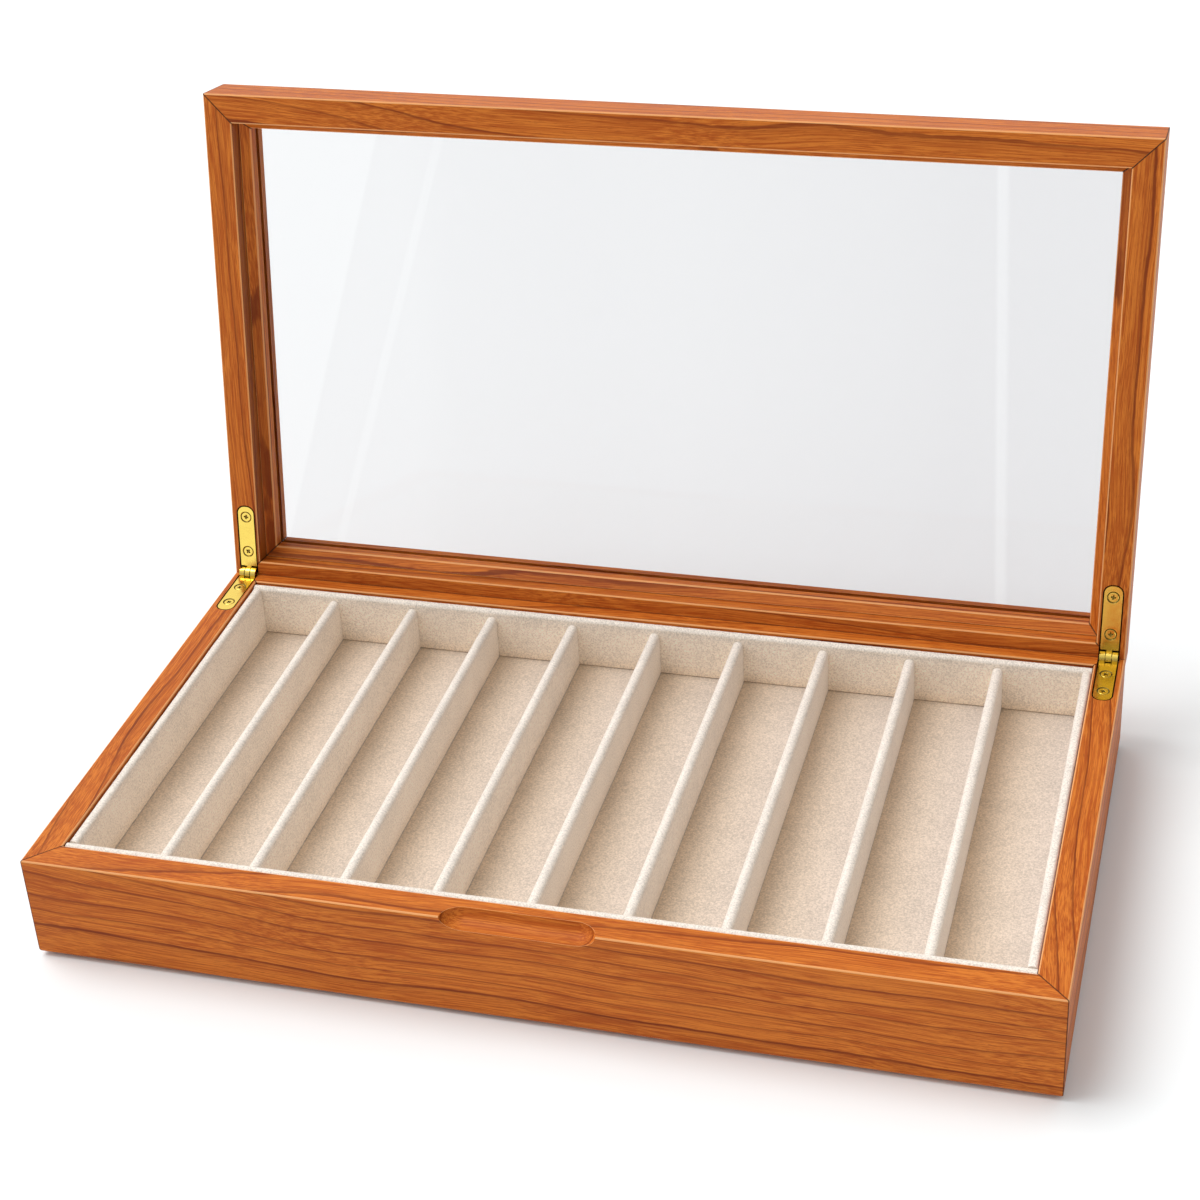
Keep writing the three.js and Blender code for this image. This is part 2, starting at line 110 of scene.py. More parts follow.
# Hinges, measured from the pivot line
LEAF_WIDTH = 6.8 * MM
LEAF_THICKNESS = 1.5 * MM
LEAF_RECESS = 0.1 * MM
LEAF_CORNER = 3 * MM
KNUCKLE_RADIUS = 2.7 * MM
KNUCKLE_GAP = 0.3 * MM
KNUCKLE_CLEARANCE = 0.5 * MM
MORTISE_CLEARANCE = 0.55 * MM
PIN_RADIUS = 1 * MM
SCREW_HEAD_RADIUS = 2.2 * MM
SCREW_SHANK_RADIUS = 1.1 * MM
SCREW_HEAD_DEPTH = 1.2 * MM
SCREW_LENGTH = 8 * MM
SCREW_SINK = 0.16 * MM
LEAVES = {
    "base": {"sign": -1, "length": 28 * MM, "screws": (10.5 * MM, 22 * MM)},
    "lid": {"sign": 1, "length": 29 * MM, "screws": (9.5 * MM, 24.5 * MM)},
}
HINGE_X = {
    side: sum(corner[0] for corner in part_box(f"hinge_{side}_base_leaf")) / 2
    for side in ("left", "right")
}
SIDES = {
    "front": {"turn": 0.0, "length": BOX_WIDTH},
    "right": {"turn": math.pi / 2, "length": BOX_DEPTH},
    "back": {"turn": math.pi, "length": BOX_WIDTH},
    "left": {"turn": -math.pi / 2, "length": BOX_DEPTH},
}


def linear(code, alpha=None):
    """Linear colour of an sRGB hex code, with alpha if it is given."""
    parts = [int(code[i:i + 2], 16) / 255 for i in (1, 3, 5)]
    colour = [p / 12.92 if p <= 0.04045 else ((p + 0.055) / 1.055) ** 2.4 for p in parts]
    return (*colour, alpha) if alpha is not None else tuple(colour)


def colour_property(name, description, code):
    return bpy.props.FloatVectorProperty(
        name=name, description=description, default=linear(code), size=3, min=0, max=1, subtype="COLOR"
    )


def length_property(name, description, default):
    return bpy.props.FloatProperty(
        name=name, description=description, default=default, min=0, unit="LENGTH", subtype="DISTANCE"
    )


class JewelryBoxWood(bpy.types.PropertyGroup):
    """Colours and grain of the cherry rails"""

    light: colour_property("Light wood", "Colour of the early wood between the rings", "#d77b2b")
    deep: colour_property("Deep wood", "Colour of the denser streaks", "#b15312")
    line: colour_property("Grain line", "Colour of the dark line at the end of each ring", "#762b02")
    # This colour is a painted highlight along the rounded edges
    arris_highlight: colour_property("Arris", "Colour of the arrises, where the oil is rubbed thin", "#f6b678")
    # This colour is the real dark mitre line, and also painted shade in recesses
    joint_and_shade: colour_property("Joint", "Colour of the thin line where two rails meet, and of dirt in recesses", "#341404")
    ring: length_property("Ring width", "Distance between two dark grain lines", 6.4 * MM)
    roughness: bpy.props.FloatProperty(
        name="Lacquer roughness", description="How dull the satin lacquer is", default=0.5, min=0, max=1
    )


class JewelryBoxVelvet(bpy.types.PropertyGroup):
    """Colours and pile of the velvet tray"""

    # This colour is a painted highlight: a whiter tone along the top of each wall
    crest: colour_property("Crest", "Colour of the pile where a fold opens it to the light", "#f2e8dc")
    pile: colour_property("Pile", "Colour of the upright pile", "#fff2e2")
    # This colour is painted shade at the foot of each wall
    crease: colour_property("Crease", "Colour of the walls' pile pressed into the crease at their foot", "#fae8d2")
    # This colour is painted shade on the floor beside each divider
    floor: colour_property("Floor", "Colour of the floor's pile beside the crease", "#e0cab0")
    # This colour is painted light on the floor towards the right of each compartment
    painted_floor_light: colour_property("Swept", "Colour of the floor's pile on the side it is brushed towards", "#d3c8bf")
    fuzz: length_property("Fuzz", "How far single tufts stand out of the pile", 0.08 * MM)
    tuft: length_property("Tuft", "Width of a tuft of pile, drawn coarser than the real one so it shows", 0.65 * MM)


class JewelryBoxMetal(bpy.types.PropertyGroup):
    """Colour and polish of the brass, and tint of the pane"""

    brass: colour_property("Brass", "Colour of the polished brass", "#f2d266")
    # This colour is painted shade in the brass's recesses
    painted_recess_shade: colour_property("Tarnish", "Colour of the brass in its recesses", "#4a3414")
    polish: bpy.props.FloatProperty(
        name="Brass roughness", description="How dull the polished brass is", default=0.17, min=0, max=1
    )
    tint: colour_property("Glass tint", "Light that the haziest part of the pane lets through", "#dddadb")


class JewelryBoxEdges(bpy.types.PropertyGroup):
    """Radii of the rounded edges"""

    foot: length_property("Foot", "Radius along the base's lower outer edge", 2 * MM)
    rim: length_property("Rim", "Radius along the outer edges of the two rims", 0.5 * MM)
    inner: length_property("Inner", "Radius along the inner edges of the rims, the lip and the beads", 0.5 * MM)
    lid_top: length_property("Lid top", "Radius along the closed lid's upper outer edge", 1.5 * MM)
    ease: length_property("Ease", "How far every other sharp edge of the wood is eased", 0.14 * MM)
    groove: length_property("Groove", "How far the thumb groove's edge is rounded", 0.5 * MM)
    metal: length_property("Metal", "Bevel on the brass edges", 0.2 * MM)


class JewelryBoxStage(bpy.types.PropertyGroup):
    """Camera and light"""

    azimuth: bpy.props.FloatProperty(
        name="Azimuth", description="Turn of the camera round the box", default=math.radians(17.02), subtype="ANGLE"
    )
    elevation: bpy.props.FloatProperty(
        name="Elevation", description="Height of the camera as an angle", default=math.radians(31.67), subtype="ANGLE"
    )
    roll: bpy.props.FloatProperty(
        name="Roll", description="Tilt of the camera about its own line of sight", default=math.radians(3.53),
        subtype="ANGLE",
    )
    distance: length_property("Distance", "From the camera to the point it looks at", 857.4 * MM)
    lens: bpy.props.FloatProperty(
        name="Lens", description="Focal length on a 36 mm frame", default=73.83, unit="CAMERA"
    )


LOOKS = {
    "jewelry_wood": JewelryBoxWood,
    "jewelry_velvet": JewelryBoxVelvet,
    "jewelry_metal": JewelryBoxMetal,
    "jewelry_edges": JewelryBoxEdges,
    "jewelry_stage": JewelryBoxStage,
}


# Meshes


def selected(bm, test):
    return [edge for edge in bm.edges if test(edge)]


def bevel(bm, geom, offset, segments, affect="EDGES"):
    return bmesh.ops.bevel(
        bm, geom=geom, offset=offset, offset_type="OFFSET", affect=affect, segments=segments,
        profile=0.5, material=-1, clamp_overlap=True,
    )["faces"]


def prism(points, rounds, depth, axis):
    """Closed bar: an outline in the plane across the axis, its corners rounded, extruded along it and centred."""
    bm = bmesh.new()
    across = {"X": lambda a, b: (0, a, b), "Z": lambda a, b: (a, b, 0)}[axis]
    step = {"X": Vector((depth, 0, 0)), "Z": Vector((0, 0, depth))}[axis]
    corners = [bm.verts.new(across(*point)) for point in points]
    bm.faces.new(corners)
    for corner, radius in zip(corners, rounds):
        if radius:
            bevel(bm, [corner], radius, 8, "VERTICES")
    extruded = bmesh.ops.extrude_face_region(bm, geom=bm.faces[:])["geom"]
    bmesh.ops.translate(bm, vec=step, verts=[v for v in extruded if isinstance(v, bmesh.types.BMVert)])
    bmesh.ops.translate(bm, vec=-step / 2, verts=bm.verts)
    bmesh.ops.recalc_face_normals(bm, faces=bm.faces)
    # Faces of the rounded corners narrower than ARRIS_WIDTH are marked for the cherry's painted highlight
    wear = bm.faces.layers.float.new("wear")
    for face in bm.faces:
        face[wear] = float(min(edge.calc_length() for edge in face.edges) < ARRIS_WIDTH and len(face.edges) == 4)
    return bm


def block(size, centre):
    bm = bmesh.new()
    bmesh.ops.create_cube(bm, size=1, matrix=Matrix.Translation(centre) @ Matrix.Diagonal((*size, 1)))
    return bm


def rod(radius, length, centre, segments=48):
    """Closed cylinder along X."""
    bm = bmesh.new()
    matrix = Matrix.Translation(centre) @ Matrix.Rotation(math.pi / 2, 4, "Y")
    bmesh.ops.create_cone(
        bm, cap_ends=True, segments=segments, radius1=radius, radius2=radius, depth=length, matrix=matrix
    )
    return bm


def lathe(profile, segments=48):
    """Closed turned shape about Z, from its half profile of (radius, height) points."""
    bm = bmesh.new()
    verts = [bm.verts.new((radius, 0, height)) for radius, height in profile]
    edges = [bm.edges.new(pair) for pair in zip(verts, verts[1:])]
    bmesh.ops.spin(
        bm, geom=verts + edges, cent=(0, 0, 0), axis=(0, 0, 1), angle=2 * math.pi, steps=segments, use_merge=True
    )
    bmesh.ops.remove_doubles(bm, verts=bm.verts, dist=0.001 * MM)
    bmesh.ops.recalc_face_normals(bm, faces=bm.faces)
    return bm


def slice_off(bm, point, normal):
    """Cuts away what lies on the normal's side of a plane and closes the cut."""
    cut = bmesh.ops.bisect_plane(
        bm, geom=bm.verts[:] + bm.edges[:] + bm.faces[:], plane_co=point, plane_no=normal, clear_outer=True
    )["geom_cut"]
    edges = [item for item in cut if isinstance(item, bmesh.types.BMEdge)]
    if edges:
        bmesh.ops.holes_fill(bm, edges=edges)


def moved(bm, matrix):
    bmesh.ops.transform(bm, matrix=matrix, verts=bm.verts)
    return bm


def boolean(bm, tools, operation="DIFFERENCE"):
    """The shape cut by, or joined with, each tool in turn."""
    throwaway = []
    for shape in (bm, *tools):
        mesh = bpy.data.meshes.new("part")
        shape.to_mesh(mesh)
        shape.free()
        item = bpy.data.objects.new("part", mesh)
        bpy.context.scene.collection.objects.link(item)
        throwaway.append(item)
    body, *cutters = throwaway
    for cutter in cutters:
        step = body.modifiers.new("cut", "BOOLEAN")
        step.operation = operation
        step.solver = "EXACT"
        step.object = cutter
    evaluated = body.evaluated_get(bpy.context.evaluated_depsgraph_get())
    mesh = bpy.data.meshes.new_from_object(evaluated)
    result = bmesh.new()
    result.from_mesh(mesh)
    bpy.data.meshes.remove(mesh)
    for item in throwaway:
        mesh = item.data
        bpy.data.objects.remove(item)
        bpy.data.meshes.remove(mesh)
    bmesh.ops.remove_doubles(result, verts=result.verts, dist=0.002 * MM)
    bmesh.ops.dissolve_limit(
        result, angle_limit=math.radians(0.5), use_dissolve_boundaries=False, verts=result.verts, edges=result.edges
    )
    return result


def ease(bm, offset, segments=2, near=None):
    """Bevels the sharp edges, or those of them whose middle passes a test, and marks the new faces for the cherry's
    painted highlight.
    """
    wear = bm.faces.layers.float.get("wear") or bm.faces.layers.float.new("wear")
    sharp = selected(
        bm,
        lambda e: len(e.link_faces) == 2
        and e.calc_face_angle(0) > SHARP
        and (near is None or near((e.verts[0].co + e.verts[1].co) / 2)),
    )
    for face in bevel(bm, sharp, offset, segments):
        face[wear] = 1


def darken(bm, test, share):
    """Marks the faces whose middle passes a test for painted shade, as in a recess."""
    wear = bm.faces.layers.float.get("wear") or bm.faces.layers.float.new("wear")
    for face in bm.faces:
        if test(face.calc_center_median()):
            face[wear] = -share


def fuzzy(bm, depth, tuft, seed):
    """Moves every point along its normal by a noise as wide as a tuft of pile."""
    bm.normal_update()
    shift = Vector((seed * 17.3, seed * 5.1, seed * 9.7))
    for vert in bm.verts:
        place = vert.co / tuft
        fine = noise.noise(place * 1.0 + shift)
        soft = noise.noise(place * 0.09 + shift)
        vert.co += vert.normal * depth * (fine + 0.6 * soft)


def finished(name, bm, material, body, nodes):
    """Turns a bmesh into a piece of the box that rides on its body in place of its CAD nodes."""
    mesh = bpy.data.meshes.new(name)
    bm.normal_update()
    bm.to_mesh(mesh)
    bm.free()
    mesh.shade_smooth()
    mesh.set_sharp_from_angle(angle=SHARP)
    mesh.materials.append(material)
    piece = bpy.data.objects.new(name, mesh)
    bpy.context.scene.collection.objects.link(piece)
    weighted = piece.modifiers.new("Even shading", "WEIGHTED_NORMAL")
    weighted.keep_sharp = True
    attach(piece, body)
    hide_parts(*nodes)
    return piece


# Materials


def add(tree, kind, links=None, stops=None, **settings):
    """A node with its settings, its sockets' values or links, and its colour stops."""
    node = tree.nodes.new(kind)
    for key, value in settings.items():
        setattr(node, key, value)
    for key, source in (links or {}).items():
        if isinstance(source, bpy.types.Node):
            source = source.outputs[0]
        if isinstance(source, bpy.types.NodeSocket):
            tree.links.new(source, node.inputs[key])
        else:
            node.inputs[key].default_value = source
    if stops:
        while len(node.color_ramp.elements) < len(stops):
            node.color_ramp.elements.new(0.5)
        for element, (place, value) in zip(node.color_ramp.elements, stops):
            element.position = place
            element.color = value if hasattr(value, "__len__") else (value, value, value, 1)
    return node


def new_material(name):
    material = bpy.data.materials.new(name)
    material.use_nodes = True
    material.node_tree.nodes.clear()
    return material, material.node_tree


def close(tree, shader):
    add(tree, "ShaderNodeOutputMaterial", {"Surface": shader})


def millimetres(tree, tilt=False):
    """Places in millimetres, those on a piece of the lid as they are when the lid is closed."""
    place = add(tree, "ShaderNodeTexCoord").outputs["Object"]
    if tilt:
        place = add(
            tree, "ShaderNodeMapping",
            {"Vector": place, "Location": CLOSING.to_translation(), "Rotation": CLOSING.to_euler()},
        )
    return add(tree, "ShaderNodeVectorMath", {0: place, "Scale": 1 / MM}, operation="SCALE").outputs["Vector"]


def cherry(name, turn, tilt, seed):
    """Oiled cherry: long dark ring lines, fine fibres, short pores and a satin sheen.

    It gives the eye a warm orange brown with thin drifting lines, paler arrises from a painted highlight, and painted
    shade in recesses.
    """
    look = bpy.context.scene.jewelry_wood
    chance = random.Random(seed)
    shift = (chance.uniform(0, 900), chance.uniform(-8, 8), chance.uniform(-6, 6))
    drift = (math.radians(chance.uniform(-2.6, -1.2)), math.radians(chance.uniform(-2, 2)))
    heart = (0, chance.uniform(-30, -10), -chance.uniform(60, 110))
    material, tree = new_material(f"cherry_{name}")
    closed = millimetres(tree, tilt)
    plank = add(
        tree, "ShaderNodeMapping", {"Vector": closed, "Rotation": (0, 0, -turn)}
    )
    plank = add(
        tree, "ShaderNodeMapping", {"Vector": plank, "Location": shift, "Rotation": (0, drift[0], drift[1])}
    )

    def sized(place, along, across):
        """The place in units of a detail's length along the grain and its width across it."""
        return add(
            tree, "ShaderNodeVectorMath", {0: place, 1: (1 / along, 1 / across, 1 / across)}, operation="MULTIPLY"
        )

    def grain(place, along, across, detail, low, high):
        """Noise stretched along the grain, spread over 0 to 1."""
        noise_node = add(
            tree, "ShaderNodeTexNoise",
            {"Vector": sized(place, along, across), "Scale": 1, "Detail": detail, "Roughness": 0.55},
        )
        return add(tree, "ShaderNodeMapRange", {"Value": noise_node, "From Min": low, "From Max": high})

    wander = add(tree, "ShaderNodeTexNoise", {"Vector": sized(plank, 170, 50), "Scale": 1, "Detail": 2, "Roughness": 0.4})
    centred = add(
        tree, "ShaderNodeVectorMath", {0: wander.outputs["Color"], 1: (0.5, 0.5, 0.5)}, operation="SUBTRACT"
    )
    swung = add(tree, "ShaderNodeVectorMath", {0: centred, 1: (0, 20, 20)}, operation="MULTIPLY")
    bent = add(tree, "ShaderNodeVectorMath", {0: plank, 1: swung}, operation="ADD")
    waver = add(tree, "ShaderNodeTexNoise", {"Vector": sized(plank, 9, 3), "Scale": 1, "Detail": 2})
    waver = add(
        tree, "ShaderNodeVectorMath", {0: waver.outputs["Color"], 1: (0, 0.7, 0.7), 2: bent}, operation="MULTIPLY_ADD"
    )
    flat = add(tree, "ShaderNodeVectorMath", {0: waver, 1: (0, 1, 1)}, operation="MULTIPLY")
    radius = add(tree, "ShaderNodeVectorMath", {0: flat, 1: heart}, operation="DISTANCE").outputs["Value"]

    uneven_at = add(tree, "ShaderNodeMath", {0: radius, 1: 0.045}, operation="MULTIPLY")
    uneven = add(tree, "ShaderNodeTexNoise", {"W": uneven_at, "Scale": 1, "Detail": 1}, noise_dimensions="1D")
    uneven_rings = add(tree, "ShaderNodeMath", {0: uneven, 1: 2.4}, operation="MULTIPLY")
    rings = add(tree, "ShaderNodeMath", {0: radius, 1: look.ring / MM}, operation="DIVIDE")
    phase = add(tree, "ShaderNodeMath", {0: rings, 1: uneven_rings}, operation="ADD")
    within = add(tree, "ShaderNodeMath", {0: phase}, operation="FRACT")
    number = add(tree, "ShaderNodeMath", {0: phase}, operation="FLOOR")
    luck = add(tree, "ShaderNodeTexWhiteNoise", {"W": number}, noise_dimensions="1D")
    strength = add(tree, "ShaderNodeMapRange", {"Value": luck.outputs["Value"], "To Min": 0.6, "To Max": 1})
    line_shape = add(
        tree, "ShaderNodeValToRGB", {"Fac": within},
        stops=[(0.0, 0.0), (0.5, 0.03), (0.76, 0.16), (0.87, 0.4), (0.9, 1.0), (0.965, 1.0), (0.99, 0.0)],
    )
    fade = grain(plank, 45, 7, 2, 0.3, 0.6)
    fade = add(tree, "ShaderNodeMapRange", {"Value": fade, "To Min": 0.7, "To Max": 1})
    line = add(tree, "ShaderNodeMath", {0: line_shape, 1: strength}, operation="MULTIPLY")
    line = add(tree, "ShaderNodeMath", {0: line, 1: fade}, operation="MULTIPLY")

    fibre = grain(bent, 24, 0.36, 2, 0.32, 0.68)
    tone = None
    for source, share in (
        (fibre, 0.5), (grain(bent, 70, 0.9, 2, 0.3, 0.7), 0.3), (grain(bent, 90, 16, 2, 0.3, 0.7), 0.15),
        (grain(plank, 4, 0.6, 2, 0.3, 0.7), 0.05),
    ):
        part = add(tree, "ShaderNodeMath", {0: source, 1: share}, operation="MULTIPLY")
        tone = part if tone is None else add(tree, "ShaderNodeMath", {0: tone, 1: part}, operation="ADD")
    middle = tuple((a + b) / 2 for a, b in zip(look.deep, look.light))
    ground = add(
        tree, "ShaderNodeValToRGB", {"Fac": tone},
        stops=[(0.32, (*look.deep, 1)), (0.5, (*middle, 1)), (0.68, (*look.light, 1))],
    )
    pore = grain(bent, 3.4, 0.26, 1, 0.62, 0.72)
    pores = add(tree, "ShaderNodeMath", {0: pore, 1: 0.4}, operation="MULTIPLY")
    pored = add(tree, "ShaderNodeMix", {0: pores, 6: ground, 7: (*look.line, 1)}, data_type="RGBA")
    lined = add(tree, "ShaderNodeMix", {0: line, 6: pored.outputs[2], 7: (*look.line, 1)}, data_type="RGBA")
    wear = add(tree, "ShaderNodeAttribute", attribute_name="wear").outputs["Fac"]
    # Painted highlight: the faces marked as arrises are mixed towards the pale edge colour
    rubbed = add(tree, "ShaderNodeMath", {0: wear, 1: 0.7}, operation="MULTIPLY", use_clamp=True)
    highlighted = add(tree, "ShaderNodeMix", {0: rubbed, 6: lined.outputs[2], 7: (*look.arris_highlight, 1)}, data_type="RGBA")
    # Painted shade: faces marked as recesses are mixed, like the mitre line, towards its dark colour
    shaded = add(tree, "ShaderNodeMath", {0: wear, 1: -1}, operation="MULTIPLY", use_clamp=True)
    joint_and_shade = add(tree, "ShaderNodeMath", {0: mitre_line(tree, closed), 1: shaded}, operation="MAXIMUM")
    coloured = add(tree, "ShaderNodeMix", {0: joint_and_shade, 6: highlighted.outputs[2], 7: (*look.joint_and_shade, 1)}, data_type="RGBA")

    height = add(tree, "ShaderNodeMath", {0: fibre, 1: pore}, operation="SUBTRACT")
    bump = add(tree, "ShaderNodeBump", {"Height": height, "Strength": 0.25, "Distance": 0.05 * MM})
    dull = add(
        tree, "ShaderNodeMapRange",
        {"Value": fibre, "To Min": look.roughness - 0.05, "To Max": look.roughness + 0.07},
    )
    wood = add(
        tree, "ShaderNodeBsdfPrincipled",
        {
            "Base Color": coloured.outputs[2], "Roughness": dull, "Normal": bump, "IOR": 1.5,
            "Specular IOR Level": 0.18,
        },
    )
    close(tree, wood)
    return material


def mitre_line(tree, closed):
    """Mask of the thin dark line where two rails meet at 45 degrees, seen from a place on the closed box."""
    parts = add(tree, "ShaderNodeSeparateXYZ", {0: closed})
    inset = []
    for axis, size in (("X", BOX_WIDTH), ("Y", BOX_DEPTH)):
        out = add(tree, "ShaderNodeMath", {0: parts.outputs[axis]}, operation="ABSOLUTE")
        inset.append(add(tree, "ShaderNodeMath", {0: size / 2 / MM, 1: out}, operation="SUBTRACT"))
    apart = add(tree, "ShaderNodeMath", {0: inset[0], 1: inset[1]}, operation="SUBTRACT")
    apart = add(tree, "ShaderNodeMath", {0: apart}, operation="ABSOLUTE")
    return add(
        tree, "ShaderNodeMapRange", {"Value": apart, "From Min": 0.2, "From Max": 0.45, "To Min": 0.85, "To Max": 0}
    )


def velvet(name, place_of, stops):
    """Short cotton velvet glued over board: matt, speckled by its tufts, paled by its sheen, its colour stops painting
    light and shade.

    The colour follows place_of(tree, parts), a value from 0 to 1 made from the place in millimetres. The tufts
    are drawn about twice as coarse as the real pile, because finer ones don't show.
    """
    look = bpy.context.scene.jewelry_velvet
    material, tree = new_material(f"velvet_{name}")
    place = millimetres(tree)
    tuft = add(
        tree, "ShaderNodeTexNoise", {"Vector": place, "Scale": MM / look.tuft, "Detail": 2, "Roughness": 0.7}
    )
    brushed = add(tree, "ShaderNodeTexNoise", {"Vector": place, "Scale": 1 / 14, "Detail": 2})
    mixed = add(tree, "ShaderNodeMath", {0: tuft, 1: 0.85}, operation="MULTIPLY")
    mixed = add(tree, "ShaderNodeMath", {0: brushed, 1: 0.15, 2: mixed}, operation="MULTIPLY_ADD")
    speck = add(
        tree, "ShaderNodeMapRange", {"Value": mixed, "From Min": 0.36, "From Max": 0.64, "To Min": 0.76, "To Max": 1.15}
    )
    share = place_of(tree, add(tree, "ShaderNodeSeparateXYZ", {0: place}))
    colour = add(
        tree, "ShaderNodeValToRGB", {"Fac": share}, stops=[(at, (*shade, 1)) for at, shade in stops],
    )
    speckled = add(
        tree, "ShaderNodeVectorMath", {0: colour, "Scale": speck}, operation="SCALE"
    )
    bump = add(tree, "ShaderNodeBump", {"Height": tuft, "Strength": 0.5, "Distance": 0.15 * MM})
    cloth = add(
        tree, "ShaderNodeBsdfPrincipled",
        {
            "Base Color": speckled, "Roughness": 0.95, "Normal": bump, "Specular IOR Level": 0.1,
            "Sheen Weight": 1, "Sheen Roughness": 0.35, "Sheen Tint": (1, 0.97, 0.94, 1),
        },
    )
    close(tree, cloth)
    return material


def upright_velvet(name, top):
    """Velvet of a wall: painted shade makes it deeper in the crease at its foot, and a painted highlight makes it pale
    along its crest.
    """
    look = bpy.context.scene.jewelry_velvet
    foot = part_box("tray_floor")[1][2]

    def height(tree, parts):
        return add(
            tree, "ShaderNodeMapRange", {"Value": parts.outputs["Z"], "From Min": foot / MM, "From Max": top / MM}
        )

    return velvet(
        name, height, [(0.0, look.crease), (0.25, look.pile), (0.8, look.pile), (0.97, look.crest)]
    )


def floor_velvet():
    """Velvet of the floor: painted shade makes it deeper in the crease at the left of each compartment, and painted
    light makes it paler towards the right.
    """
    look = bpy.context.scene.jewelry_velvet
    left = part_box("divider_1")[1][0]
    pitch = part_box("divider_2")[1][0] - left

    def across(tree, parts):
        place = add(tree, "ShaderNodeMath", {0: parts.outputs["X"], 1: left / MM}, operation="SUBTRACT")
        place = add(tree, "ShaderNodeMath", {0: place, 1: pitch / MM}, operation="DIVIDE")
        return add(tree, "ShaderNodeMath", {0: place, 1: 1.0}, operation="FLOORED_MODULO")

    return velvet("floor", across, [(0.0, look.floor), (0.85, look.painted_floor_light)])


def brass():
    """Polished yellow brass: a clear warm mirror with faint belt lines, its edges bright and its recesses darkened by
    painted shade.
    """
    look = bpy.context.scene.jewelry_metal
    material, tree = new_material("polished_brass")
    place = millimetres(tree)
    belt_at = add(tree, "ShaderNodeVectorMath", {0: place, 1: (1 / 0.12, 1 / 6, 1 / 6)}, operation="MULTIPLY")
    belt = add(tree, "ShaderNodeTexNoise", {"Vector": belt_at, "Scale": 1, "Detail": 3})
    smear = add(tree, "ShaderNodeTexNoise", {"Vector": place, "Scale": 1 / 3, "Detail": 2})
    dull = add(
        tree, "ShaderNodeMapRange",
        {"Value": smear, "From Min": 0.3, "From Max": 0.7, "To Min": look.polish - 0.04, "To Max": look.polish + 0.08},
    )
    bump = add(tree, "ShaderNodeBump", {"Height": belt, "Strength": 0.15, "Distance": 0.02 * MM})
    wear = add(tree, "ShaderNodeAttribute", attribute_name="wear").outputs["Fac"]
    shaded = add(tree, "ShaderNodeMath", {0: wear, 1: -1}, operation="MULTIPLY", use_clamp=True)
    colour = add(tree, "ShaderNodeMix", {0: shaded, 6: (*look.brass, 1), 7: (*look.painted_recess_shade, 1)}, data_type="RGBA")
    metal = add(
        tree, "ShaderNodeBsdfPrincipled",
        {"Base Color": colour.outputs[2], "Metallic": 1, "Roughness": dull, "Normal": bump},
    )
    close(tree, metal)
    return material


# Painted light: how much of the haze is taken away along the pane's width, so that it looks brighter, as (place in
# millimetres, share of the haze that is gone)
PANE_LIGHT_ACROSS = ((-160, 0.43), (-104, 0.4), (-88, 0.31), (-40, 0.24), (5, 0.23), (45, 0.16), (85, 0.08), (112, 0.0))
# Painted reflections, as paler bands with less haze: middle, half width and blur in millimetres across the pane, slant,
# and share of the haze gone
REFLECTION_BANDS = (
    (-169.7, 30, 1.5, 0.27, 0.165),
    (-115.3, 1.4, 0.8, 0.288, 0.1),
    (126.9, 0.9, 2.2, -0.047, 0.28),
)


# Lower than the 1.5 of real float glass, because the photograph shows next to no reflection in the pane
PANE_IOR = 1.2


def float_glass():
    """Clear float glass, 2 mm, with a thin grey haze: a soft veil, cleared towards its left as painted light and in
    paler bands of painted reflection.
    """
    look = bpy.context.scene.jewelry_metal
    material, tree = new_material("float_glass")
    parts = add(tree, "ShaderNodeSeparateXYZ", {0: millimetres(tree, True)})
    across, along = parts.outputs["X"], parts.outputs["Y"]
    half_width = BOX_WIDTH / 2 / MM
    spread = add(tree, "ShaderNodeMapRange", {"Value": across, "From Min": -half_width, "From Max": half_width})
    pane_light = add(
        tree, "ShaderNodeValToRGB", {"Fac": spread},
        stops=[((place + half_width) / (2 * half_width), share) for place, share in PANE_LIGHT_ACROSS],
    )
    # Painted reflections: each band takes away more of the haze
    for middle, half, blur, slant, share in REFLECTION_BANDS:
        leaned = add(tree, "ShaderNodeMath", {0: along, 1: slant, 2: across}, operation="MULTIPLY_ADD")
        off = add(tree, "ShaderNodeMath", {0: leaned, 1: middle}, operation="SUBTRACT")
        away = add(tree, "ShaderNodeMath", {0: off}, operation="ABSOLUTE")
        reflection_band = add(
            tree, "ShaderNodeMapRange",
            {"Value": away, "From Min": half, "From Max": half + blur, "To Min": share, "To Max": 0},
            interpolation_type="SMOOTHSTEP",
        )
        pane_light = add(tree, "ShaderNodeMath", {0: pane_light, 1: reflection_band}, operation="ADD", use_clamp=True)
    tint = add(tree, "ShaderNodeMix", {0: pane_light, 6: (*look.tint, 1), 7: (0.9, 0.885, 0.885, 1)}, data_type="RGBA")
    pane = add(
        tree, "ShaderNodeBsdfPrincipled",
        {
            "Base Color": tint.outputs[2], "Roughness": 0, "IOR": PANE_IOR, "Specular IOR Level": 0.5,
            "Transmission Weight": 1,
        },
    )
    clear = add(tree, "ShaderNodeBsdfTransparent", {"Color": (*look.tint, 1)})
    path = add(tree, "ShaderNodeLightPath")
    both = add(tree, "ShaderNodeMixShader", {0: path.outputs["Is Shadow Ray"], 1: pane, 2: clear})
    close(tree, both)
    return material


